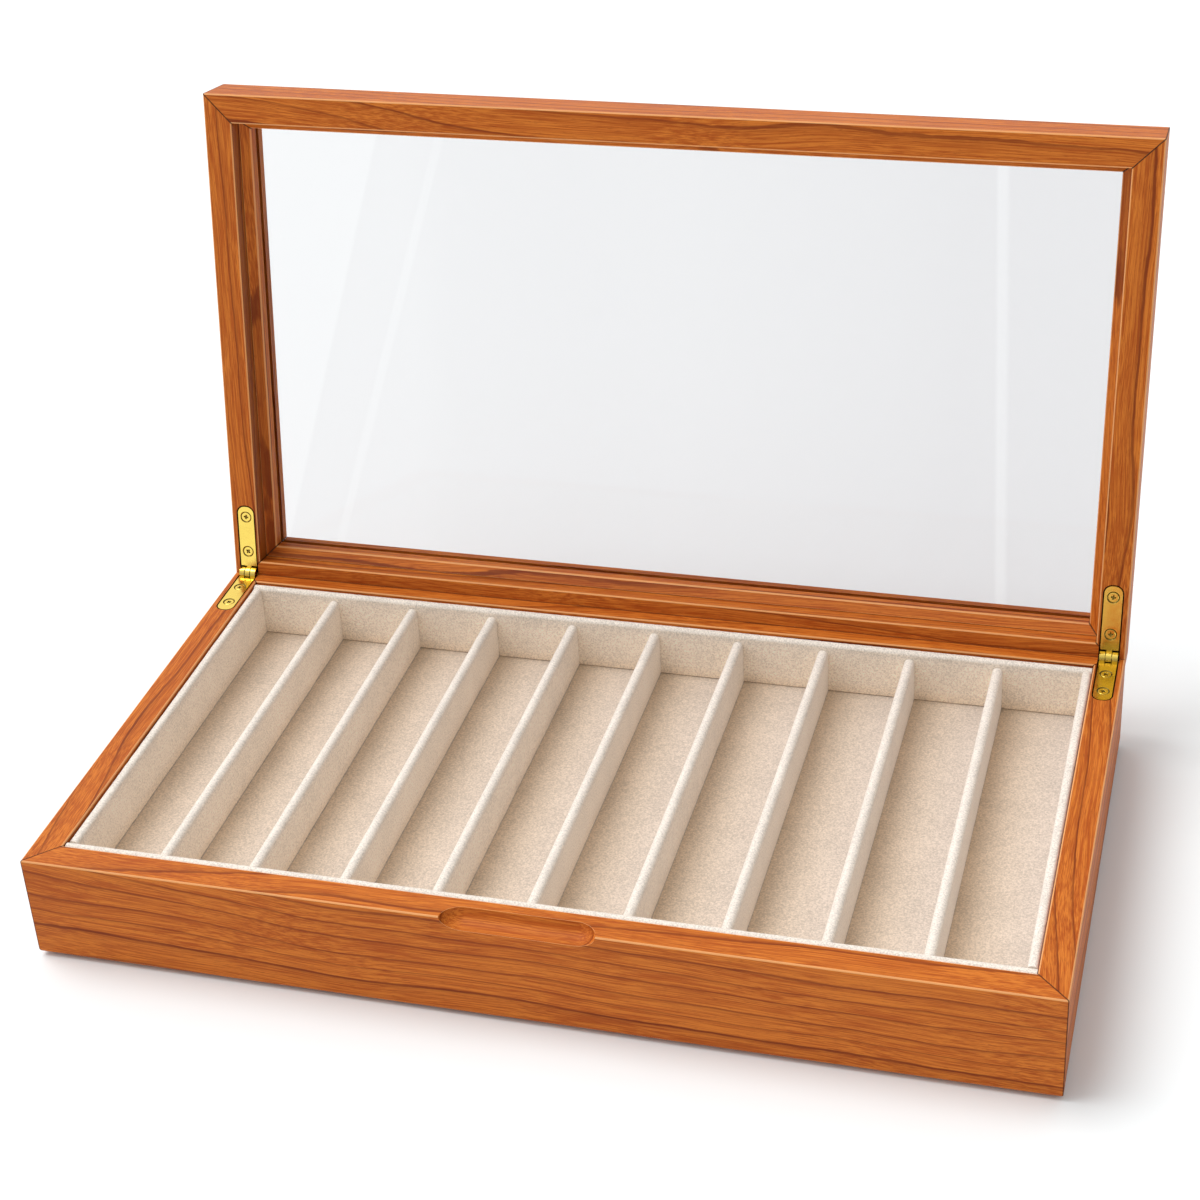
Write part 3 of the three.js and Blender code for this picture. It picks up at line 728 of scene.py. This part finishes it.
def birch_plywood():
    """Sanded birch plywood: pale, plain, with faint long grain."""
    material, tree = new_material("birch_plywood")
    place = millimetres(tree)
    grain_at = add(tree, "ShaderNodeVectorMath", {0: place, 1: (1 / 60, 1 / 1.5, 1 / 1.5)}, operation="MULTIPLY")
    grain = add(tree, "ShaderNodeTexNoise", {"Vector": grain_at, "Scale": 1, "Detail": 4})
    colour = add(
        tree, "ShaderNodeValToRGB", {"Fac": grain},
        stops=[(0.35, linear("#b88a58", 1)), (0.65, linear("#d8b283", 1))],
    )
    close(tree, add(tree, "ShaderNodeBsdfPrincipled", {"Base Color": colour, "Roughness": 0.7}))
    return material


def wool_baize():
    """Dark brown wool baize: matt felted fibres."""
    material, tree = new_material("wool_baize")
    place = millimetres(tree)
    felt = add(tree, "ShaderNodeTexNoise", {"Vector": place, "Scale": 1.4, "Detail": 4, "Roughness": 0.7})
    colour = add(
        tree, "ShaderNodeValToRGB", {"Fac": felt},
        stops=[(0.35, linear("#2c211a", 1)), (0.65, linear("#55432f", 1))],
    )
    bump = add(tree, "ShaderNodeBump", {"Height": felt, "Strength": 0.6, "Distance": 0.2 * MM})
    close(tree, add(
        tree, "ShaderNodeBsdfPrincipled",
        {"Base Color": colour, "Roughness": 1, "Normal": bump, "Sheen Weight": 0.3},
    ))
    return material


def white_foam():
    """Closed-cell packing foam: white and dull, with cells about a millimetre wide."""
    material, tree = new_material("white_foam")
    place = millimetres(tree)
    cells = add(tree, "ShaderNodeTexVoronoi", {"Vector": place, "Scale": 0.9})
    colour = add(
        tree, "ShaderNodeValToRGB", {"Fac": cells},
        stops=[(0.1, linear("#d9d5cb", 1)), (0.7, linear("#f0ede6", 1))],
    )
    close(tree, add(tree, "ShaderNodeBsdfPrincipled", {"Base Color": colour, "Roughness": 0.9}))
    return material


# Wooden frames


def rail(profile, rounds, length):
    """A bar along X with mitred ends and its outer face at y = 0."""
    gap = BOX_WIDTH - (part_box("base_front_rail")[1][0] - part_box("base_front_rail")[0][0])
    bm = prism(profile, rounds, 2 * length, "X")
    for end in (1, -1):
        slice_off(bm, Vector((end * (length - gap) / 2, 0, 0)), Vector((end, 1, 0)))
    return bm


def placed(side, height):
    turn = SIDES[side]["turn"]
    place = Vector((math.sin(turn) * BOX_WIDTH / 2, -math.cos(turn) * BOX_DEPTH / 2, height))
    return Matrix.Translation(place) @ Matrix.Rotation(turn, 4, "Z")


def leaf_outline(length, clearance):
    half = LEAF_WIDTH / 2 + clearance
    return [(-half, -length - clearance), (half, -length - clearance), (half, clearance), (-half, clearance)]


def mortises(leaf):
    """What is cut out of the closed frame's wood for both hinges."""
    facts = LEAVES[leaf]
    face = abs(PIVOT.z - RIM_TOP) + LEAF_RECESS
    depth = face + LEAF_THICKNESS + MORTISE_CLEARANCE
    corner = LEAF_CORNER + MORTISE_CLEARANCE
    cutters = []
    for x in HINGE_X.values():
        at = Vector((x, PIVOT.y, PIVOT.z))
        pocket = prism(leaf_outline(facts["length"], MORTISE_CLEARANCE), (corner, corner, 0, 0), depth, "Z")
        cutters.append(moved(pocket, Matrix.Translation(at + Vector((0, 0, facts["sign"] * depth / 2)))))
        cutters.append(rod(KNUCKLE_RADIUS + MORTISE_CLEARANCE, LEAF_WIDTH + 2 * MORTISE_CLEARANCE, at))
    return cutters


def in_mortise(leaf):
    """A test for the walls and floors of a leaf's two mortises in the closed frame."""
    half = LEAF_WIDTH / 2 + MORTISE_CLEARANCE + 0.02 * MM
    sign = LEAVES[leaf]["sign"]
    rim = PIVOT.z + sign * (abs(PIVOT.z - RIM_TOP) + 0.1 * MM)

    def test(place):
        beside = min(abs(place.x - x) for x in HINGE_X.values())
        ahead = PIVOT.y - place.y
        deep = sign * (place.z - rim)
        return beside < half and -KNUCKLE_RADIUS < ahead < LEAVES[leaf]["length"] + 2 * MORTISE_CLEARANCE \
            and 0 < deep < LEAF_THICKNESS + KNUCKLE_RADIUS

    return test


def chamfer_back(bm, sign):
    """Slopes the back edge away from the hinge line, so that the open lid leans on the base."""
    slope = OPEN_ANGLE / 2
    normal = Vector((0, math.sin(slope), sign * math.cos(slope)))
    slice_off(bm, PIVOT - normal * STOP_GAP / 2, normal)


def thumb_groove():
    """Cutter of the groove: a long scoop with an upright back wall and a flat floor that rise at its ends."""
    straight = GROOVE_LENGTH - 2 * GROOVE_TIP
    bm = bmesh.new()
    bmesh.ops.create_uvsphere(
        bm, u_segments=48, v_segments=32, radius=1, matrix=Matrix.Rotation(math.pi / 2, 4, "Y")
    )
    for vert in bm.verts:
        x, y, z = vert.co
        swell = (y ** 2 + z ** 2) ** 0.5 / ((abs(y) ** GROOVE_SQUARE + abs(z) ** GROOVE_SQUARE) ** (1 / GROOVE_SQUARE) or 1)
        along = x * GROOVE_TIP + (math.copysign(straight / 2, x) if abs(x) > 0.001 else 0)
        vert.co = (along, y * swell * GROOVE_DEEP, z * swell * GROOVE_LOW)
    return moved(bm, Matrix.Translation((0, -BOX_DEPTH / 2, RIM_TOP)))


def near_groove(place):
    return abs(place.x) < GROOVE_LENGTH / 2 - 0.4 * MM and place.y < -BOX_DEPTH / 2 + GROOVE_DEEP + 1 * MM \
        and place.z > RIM_TOP - GROOVE_LOW - 1 * MM


def make_base_rail(side, seed):
    edges = bpy.context.scene.jewelry_edges
    width, height = PANEL_REBATE
    profile = [(0, 0), (WALL - width, 0), (WALL - width, height), (WALL, height), (WALL, BASE_HEIGHT), (0, BASE_HEIGHT)]
    bm = rail(profile, (edges.foot, 0, 0, 0, edges.inner, edges.rim), SIDES[side]["length"])
    moved(bm, placed(side, RAIL_BOTTOM))
    if side == "front":
        bm = boolean(bm, [thumb_groove()])
        ease(bm, edges.groove, 3, near_groove)
    else:
        chamfer_back(bm, 1)
        bm = boolean(bm, mortises("base"))
        # Painted shade on the mortises' walls and floors
        darken(bm, in_mortise("base"), 1)
    ease(bm, edges.ease)
    material = cherry(f"base_{side}", SIDES[side]["turn"], False, seed)
    finished(f"{side}_rail", bm, material, "base", [f"base_{side}_rail"])


def make_lid_rail(side, seed):
    edges = bpy.context.scene.jewelry_edges
    lip_bottom = LID_THICKNESS - LIP_THICKNESS
    profile = [
        (0, 0), (WALL, 0), (WALL, lip_bottom), (WALL + LIP_WIDTH, lip_bottom),
        (WALL + LIP_WIDTH, LID_THICKNESS), (0, LID_THICKNESS),
    ]
    bm = rail(profile, (edges.rim, edges.inner, 0, 0, edges.inner, edges.lid_top), SIDES[side]["length"])
    # Painted shade on the side rails' inner walls
    if side in ("left", "right"):
        darken(bm, lambda p: abs(p.y - WALL) < 0.05 * MM, 0.4)
    moved(bm, placed(side, LID_RIM))
    if side != "front":
        chamfer_back(bm, -1)
        bm = boolean(bm, mortises("lid"))
        # Painted shade on the mortises' walls and floors
        darken(bm, in_mortise("lid"), 1)
    ease(bm, edges.ease)
    material = cherry(f"lid_{side}", SIDES[side]["turn"], True, seed)
    finished(f"lid_{side}", moved(bm, OPENING), material, "lid", [f"lid_{side}_rail"])


def make_bead(side, seed):
    edges = bpy.context.scene.jewelry_edges
    top = LID_THICKNESS - LIP_THICKNESS - 2 * LID_FIT - GLASS_THICKNESS
    low = top - BEAD_WALL - BEAD_SLOPE
    outer, inner = WALL + LID_FIT, WALL + BEAD_WIDTH
    profile = [(outer, low), (inner, low + BEAD_SLOPE), (inner, top), (outer, top)]
    bm = rail(profile, (0, edges.inner, 0, 0), SIDES[side]["length"])
    moved(bm, placed(side, LID_RIM))
    ease(bm, edges.ease)
    material = cherry(f"bead_{side}", SIDES[side]["turn"], True, seed)
    finished(f"bead_{side}", moved(bm, OPENING), material, "lid", [f"glass_bead_{side}"])


class JEWELRY_OT_base_frame(bpy.types.Operator):
    """Make the base's four mitred cherry rails, with the thumb groove and the hinge mortises"""

    bl_idname = "jewelry.base_frame"
    bl_label = "Base frame"

    def execute(self, context):
        for seed, side in zip((65, 12, 13, 14), SIDES):
            make_base_rail(side, seed)
        return {"FINISHED"}


class JEWELRY_OT_lid_frame(bpy.types.Operator):
    """Make the lid's four mitred cherry rails"""

    bl_idname = "jewelry.lid_frame"
    bl_label = "Lid frame"

    def execute(self, context):
        for seed, side in enumerate(SIDES):
            make_lid_rail(side, 31 + seed)
        return {"FINISHED"}


class JEWELRY_OT_beads(bpy.types.Operator):
    """Make the four sloped beads that hold the pane in the lid"""

    bl_idname = "jewelry.beads"
    bl_label = "Glazing beads"

    def execute(self, context):
        for seed, side in enumerate(SIDES):
            make_bead(side, 51 + seed)
        return {"FINISHED"}


class JEWELRY_OT_pane(bpy.types.Operator):
    """Make the glass pane with its ground edges"""

    bl_idname = "jewelry.pane"
    bl_label = "Glass pane"

    def execute(self, context):
        margin = 2 * (WALL + LID_FIT)
        top = LID_RIM + LID_THICKNESS - LIP_THICKNESS - LID_FIT
        bm = block(
            (BOX_WIDTH - margin, BOX_DEPTH - margin, GLASS_THICKNESS), Vector((0, 0, top - GLASS_THICKNESS / 2))
        )
        bevel(bm, bm.edges[:], 0.3 * MM, 2)
        finished("pane", moved(bm, OPENING), float_glass(), "lid", ["glass_pane"])
        return {"FINISHED"}


# Tray


def board(length, thickness, height, top_round, step):
    """A covered board along X standing on z = 0, with a soft round top and a turned-in foot."""
    half = thickness / 2
    bm = prism(
        [(-half, 0), (half, 0), (half, height), (-half, height)],
        (thickness / 8, thickness / 8, top_round, top_round), length, "X",
    )
    long_edges = selected(bm, lambda e: abs(e.verts[0].co.x - e.verts[1].co.x) > length / 2)
    bmesh.ops.subdivide_edges(bm, edges=long_edges, cuts=round(length / step), use_grid_fill=True)
    tall = selected(bm, lambda e: abs(e.verts[0].co.z - e.verts[1].co.z) > height / 2)
    bmesh.ops.subdivide_edges(bm, edges=tall, cuts=7, use_grid_fill=True)
    return bm


def make_board(name, node, along_y, top_round, material, seed):
    look = bpy.context.scene.jewelry_velvet
    low, high = (Vector(corner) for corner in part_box(node))
    size, middle = high - low, (high + low) / 2
    length, thickness = (size.y, size.x) if along_y else (size.x, size.y)
    bm = board(length - look.fuzz, thickness - look.fuzz, size.z - look.fuzz / 2, top_round, 0.8 * MM)
    turn = Matrix.Rotation(math.pi / 2 if along_y else 0, 4, "Z")
    moved(bm, Matrix.Translation((middle.x, middle.y, low.z)) @ turn)
    fuzzy(bm, look.fuzz, look.tuft, seed)
    finished(name, bm, material, "base", [node])


class JEWELRY_OT_tray(bpy.types.Operator):
    """Make the tray's velvet walls and floor"""

    bl_idname = "jewelry.tray"
    bl_label = "Tray"

    def execute(self, context):
        look = context.scene.jewelry_velvet
        wall = upright_velvet("walls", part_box("lining_front")[1][2])
        for seed, side in enumerate(("front", "back", "left", "right")):
            make_board(f"tray_wall_{side}", f"lining_{side}", side in ("left", "right"), 1.4 * MM, wall, seed)
        low, high = (Vector(corner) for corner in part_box("tray_floor"))
        size, middle = high - low, (high + low) / 2
        bm = bmesh.new()
        bmesh.ops.create_grid(
            bm, x_segments=round(size.x / (1.6 * MM)), y_segments=round(size.y / (1.6 * MM)), size=0.5,
            matrix=Matrix.Translation((middle.x, middle.y, high.z - look.fuzz)) @ Matrix.Diagonal((size.x, size.y, 1, 1)),
        )
        fuzzy(bm, look.fuzz / 2, look.tuft, 9)
        rim = [edge for edge in bm.edges if edge.is_boundary]
        down = bmesh.ops.extrude_edge_only(bm, edges=rim)["geom"]
        lower = [v for v in down if isinstance(v, bmesh.types.BMVert)]
        for vert in lower:
            vert.co.z = low.z
        bmesh.ops.contextual_create(bm, geom=[e for e in bm.edges if e.is_boundary])
        bmesh.ops.recalc_face_normals(bm, faces=bm.faces)
        finished("tray_bed", bm, floor_velvet(), "base", ["tray_floor"])
        return {"FINISHED"}


class JEWELRY_OT_dividers(bpy.types.Operator):
    """Make the round-topped velvet dividers between the compartments"""

    bl_idname = "jewelry.dividers"
    bl_label = "Dividers"

    def execute(self, context):
        names = sorted(name for name in frame["nodes"] if name.startswith("divider_"))
        material = upright_velvet("dividers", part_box(names[0])[1][2])
        for seed, name in enumerate(names):
            low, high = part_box(name)
            make_board(f"{name}_cover", name, True, (high[0] - low[0]) * 0.46, material, 20 + seed)
        return {"FINISHED"}


class JEWELRY_OT_underside(bpy.types.Operator):
    """Give the bottom panel, the baize and the foam their materials"""

    bl_idname = "jewelry.underside"
    bl_label = "Underside"

    def execute(self, context):
        dress = {"bottom_panel": birch_plywood(), "baize_sheet": wool_baize(), "foam_block": white_foam()}
        for name, material in dress.items():
            node = frame["nodes"][name]
            node.data.materials.clear()
            node.data.materials.append(material)
        return {"FINISHED"}


# Hinges


def to_hinge(side, leaf):
    """Places a closed hinge half, modelled with its pivot at the origin, where the open box has it."""
    at = Matrix.Translation((HINGE_X[side], PIVOT.y, PIVOT.z))
    return OPENING @ at if leaf == "lid" else at


def countersink(leaf, place, clearance):
    """Where a screw goes in a leaf, modelled with its head's face at z = 0 and its shank along -Z."""
    face = abs(PIVOT.z - RIM_TOP) + LEAF_RECESS
    sign = LEAVES[leaf]["sign"]
    flip = Matrix.Rotation(math.pi if sign > 0 else 0, 4, "X")
    return Matrix.Translation((0, -place, sign * face)) @ flip


def screw_hole():
    wide = 0.22 * MM
    over = 3 * MM
    return lathe([
        (0, -SCREW_LENGTH - wide), (SCREW_SHANK_RADIUS + wide, -SCREW_LENGTH - wide),
        (SCREW_SHANK_RADIUS + wide, -SCREW_HEAD_DEPTH), (SCREW_HEAD_RADIUS + wide, 0),
        (SCREW_HEAD_RADIUS + wide, over), (0, over),
    ])


def leaf_shape(leaf):
    """A leaf with its knuckles and countersunk holes, pivot at the origin, closed."""
    facts = LEAVES[leaf]
    face = abs(PIVOT.z - RIM_TOP) + LEAF_RECESS
    pitch = (LEAF_WIDTH + KNUCKLE_GAP) / 3
    width = pitch - KNUCKLE_GAP
    own, other = ((-1, 1), (0,)) if leaf == "base" else ((0,), (-1, 1))
    reach_out = KNUCKLE_RADIUS + KNUCKLE_CLEARANCE
    plate = prism(leaf_outline(facts["length"], 0), (LEAF_CORNER, LEAF_CORNER, 0, 0), LEAF_THICKNESS, "Z")
    moved(plate, Matrix.Translation((0, 0, facts["sign"] * (face + LEAF_THICKNESS / 2))))
    slots = [
        block((width + 2 * KNUCKLE_GAP, 2 * reach_out, 2 * reach_out), Vector((place * pitch, 0, 0)))
        for place in other
    ]
    plate = boolean(plate, slots)
    plate = boolean(plate, [rod(KNUCKLE_RADIUS, width, Vector((place * pitch, 0, 0))) for place in own], "UNION")
    holes = [moved(screw_hole(), countersink(leaf, place, 0)) for place in facts["screws"]]
    plate = boolean(plate, [rod(PIN_RADIUS + 0.1 * MM, 2 * LEAF_WIDTH, Vector((0, 0, 0))), *holes])
    rings = [Vector((0, -place, facts["sign"] * face)) for place in facts["screws"]]
    around = SCREW_HEAD_RADIUS + 0.2 * MM
    # Painted shade in each screw's countersink
    darken(plate, lambda p: any((p - ring).length < around for ring in rings), 0.75)

    def in_gap(place):
        """Whether a place is on a knuckle's end or at the bottom of the slot for another knuckle."""
        off_middle = abs(place.x - round(place.x / pitch) * pitch)
        return place.yz.length < 1.5 * reach_out and abs(place.x) < LEAF_WIDTH / 2 - 0.1 * MM \
            and (off_middle > width / 2 - 0.05 * MM or abs(place.y + reach_out) < 0.05 * MM)

    # Painted shade on the knuckles' ends and at the bottoms of the slots between them
    darken(plate, in_gap, 0.8)
    return plate


def screw_shape(angle):
    """A countersunk screw with a faintly domed head and a cross recess, face at z = 0."""
    head = lathe([
        (0, -SCREW_SINK), (SCREW_HEAD_RADIUS * 0.8, -SCREW_SINK), (SCREW_HEAD_RADIUS * 0.9, -SCREW_SINK - 0.08 * MM),
        (SCREW_SHANK_RADIUS, -SCREW_HEAD_DEPTH), (SCREW_SHANK_RADIUS, -SCREW_LENGTH + 1.5 * MM), (0, -SCREW_LENGTH),
    ])
    arms = []
    for turn in (0, math.pi / 2):
        arm = block((2.7 * MM, 0.75 * MM, 1.9 * MM), Vector((0, 0, 0)))
        for vert in arm.verts:
            if vert.co.z < 0:
                vert.co.x *= 0.5
                vert.co.y *= 0.8
        arms.append(moved(arm, Matrix.Rotation(turn, 4, "Z")))
    head = boolean(head, arms)
    # Painted shade in the cross recess
    darken(head, lambda p: p.xy.length < 1.4 * MM and -1 * MM < p.z < -SCREW_SINK - 0.1 * MM, 0.9)
    ease(head, 0.06 * MM)
    return moved(head, Matrix.Rotation(angle, 4, "Z"))


class JEWELRY_OT_hinges(bpy.types.Operator):
    """Make the leaves and pins of the two brass hinges"""

    bl_idname = "jewelry.hinges"
    bl_label = "Hinges"

    def execute(self, context):
        edges = context.scene.jewelry_edges
        metal = brass()
        for side in HINGE_X:
            for leaf in LEAVES:
                bm = leaf_shape(leaf)
                ease(bm, edges.metal)
                moved(bm, to_hinge(side, leaf))
                finished(f"{side}_{leaf}_leaf", bm, metal, leaf, [f"hinge_{side}_{leaf}_leaf"])
            low, high = (Vector(corner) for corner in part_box(f"hinge_{side}_pin"))
            bm = rod(PIN_RADIUS, high.x - low.x, (low + high) / 2)
            ease(bm, 2 * edges.metal)
            finished(f"{side}_hinge_pin", bm, metal, "base", [f"hinge_{side}_pin"])
        return {"FINISHED"}


class JEWELRY_OT_screws(bpy.types.Operator):
    """Make the countersunk brass screws of the hinges"""

    bl_idname = "jewelry.screws"
    bl_label = "Screws"

    def execute(self, context):
        chance = random.Random(5)
        metal = bpy.data.materials["polished_brass"]
        for side in HINGE_X:
            for leaf, facts in LEAVES.items():
                for number, place in enumerate(facts["screws"], 1):
                    bm = screw_shape(chance.uniform(0, math.pi))
                    moved(bm, to_hinge(side, leaf) @ countersink(leaf, place, 0))
                    node = f"hinge_{side}_{leaf}_screw_{number}"
                    finished(f"{side}_{leaf}_screw_{number}", bm, metal, leaf, [node])
        return {"FINISHED"}


# Stage


def soft_sun(name, source, angle, strength):
    """A wide even light from one side, given by the direction it comes from."""
    lamp = bpy.data.lights.new(name, "SUN")
    lamp.angle = angle
    lamp.energy = strength
    light = bpy.data.objects.new(name, lamp)
    light.matrix_world = Vector(source).to_track_quat("Z", "Y").to_matrix().to_4x4()
    bpy.context.scene.collection.objects.link(light)


class JEWELRY_OT_stage(bpy.types.Operator):
    """Set the pale floor, the soft studio light and the camera"""

    bl_idname = "jewelry.stage"
    bl_label = "Stage"

    def execute(self, context):
        bm = bmesh.new()
        bmesh.ops.create_circle(bm, cap_ends=True, segments=96, radius=30)
        mesh = bpy.data.meshes.new("floor")
        bm.to_mesh(mesh)
        bm.free()
        material, tree = new_material("white_paper")
        close(tree, add(
            tree, "ShaderNodeBsdfPrincipled",
            {"Base Color": linear("#f7fbfc", 1), "Roughness": 1, "Specular IOR Level": 0},
        ))
        mesh.materials.append(material)
        floor = bpy.data.objects.new("floor", mesh)
        context.scene.collection.objects.link(floor)

        world = bpy.data.worlds.new("studio")
        world.use_nodes = True
        world.node_tree.nodes.clear()
        tree = world.node_tree
        direction = add(tree, "ShaderNodeTexCoord").outputs["Generated"]
        bright_side = Vector((-0.72, 0.25, 0.64)).normalized()
        facing = add(tree, "ShaderNodeVectorMath", {0: direction, 1: bright_side}, operation="DOT_PRODUCT")
        glow = add(
            tree, "ShaderNodeMapRange",
            {"Value": facing.outputs["Value"], "To Min": 0.37, "To Max": 1.26},
        )
        background = add(tree, "ShaderNodeBackground", {"Color": (1, 1, 1, 1), "Strength": glow})
        add(tree, "ShaderNodeOutputWorld", {"Surface": background})
        context.scene.world = world
        context.scene.view_settings.view_transform = "Standard"
        soft_sun("key", (-0.48, 0.04, 1), math.radians(36), 1.5)

        look = context.scene.jewelry_stage
        back = Vector((
            math.sin(look.azimuth) * math.cos(look.elevation),
            -math.cos(look.azimuth) * math.cos(look.elevation),
            math.sin(look.elevation),
        ))
        across = (-back).cross(Vector((0, 0, 1))).normalized()
        down = (-back).cross(across)
        right = across * math.cos(look.roll) + down * math.sin(look.roll)
        up = back.cross(right)
        lens = bpy.data.cameras.new("camera")
        lens.lens = look.lens
        lens.sensor_width = 36
        lens.sensor_fit = "HORIZONTAL"
        camera = bpy.data.objects.new("camera", lens)
        place = Vector((4.5, 1.6, 106.5)) * MM + back * look.distance
        camera.matrix_world = Matrix.Translation(place) @ Matrix((right, up, back)).transposed().to_4x4()
        context.scene.collection.objects.link(camera)
        context.scene.camera = camera
        return {"FINISHED"}


class JEWELRY_PT_sidebar(bpy.types.Panel):
    """Lists what makes the box"""

    bl_idname = "JEWELRY_PT_sidebar"
    bl_label = "Jewelry Box"
    bl_space_type = "VIEW_3D"
    bl_region_type = "UI"
    bl_category = "Jewelry Box"

    def draw(self, context):
        for key, group in LOOKS.items():
            section = self.layout.box()
            section.label(text=group.__doc__)
            for name in group.__annotations__:
                section.prop(getattr(context.scene, key), name)
        for operator in OPERATORS:
            self.layout.operator(operator.bl_idname)


OPERATORS = (
    JEWELRY_OT_stage,
    JEWELRY_OT_base_frame,
    JEWELRY_OT_lid_frame,
    JEWELRY_OT_beads,
    JEWELRY_OT_pane,
    JEWELRY_OT_tray,
    JEWELRY_OT_dividers,
    JEWELRY_OT_underside,
    JEWELRY_OT_hinges,
    JEWELRY_OT_screws,
)
CLASSES = (*LOOKS.values(), *OPERATORS, JEWELRY_PT_sidebar)


def register():
    for item in CLASSES:
        bpy.utils.register_class(item)
    for key, group in LOOKS.items():
        setattr(bpy.types.Scene, key, bpy.props.PointerProperty(type=group))


def unregister():
    for key in LOOKS:
        delattr(bpy.types.Scene, key)
    for item in reversed(CLASSES):
        bpy.utils.unregister_class(item)


def main():
    register()
    for operator in OPERATORS:
        group, name = operator.bl_idname.split(".")
        getattr(getattr(bpy.ops, group), name)()


if __name__ == "__main__":
    main()
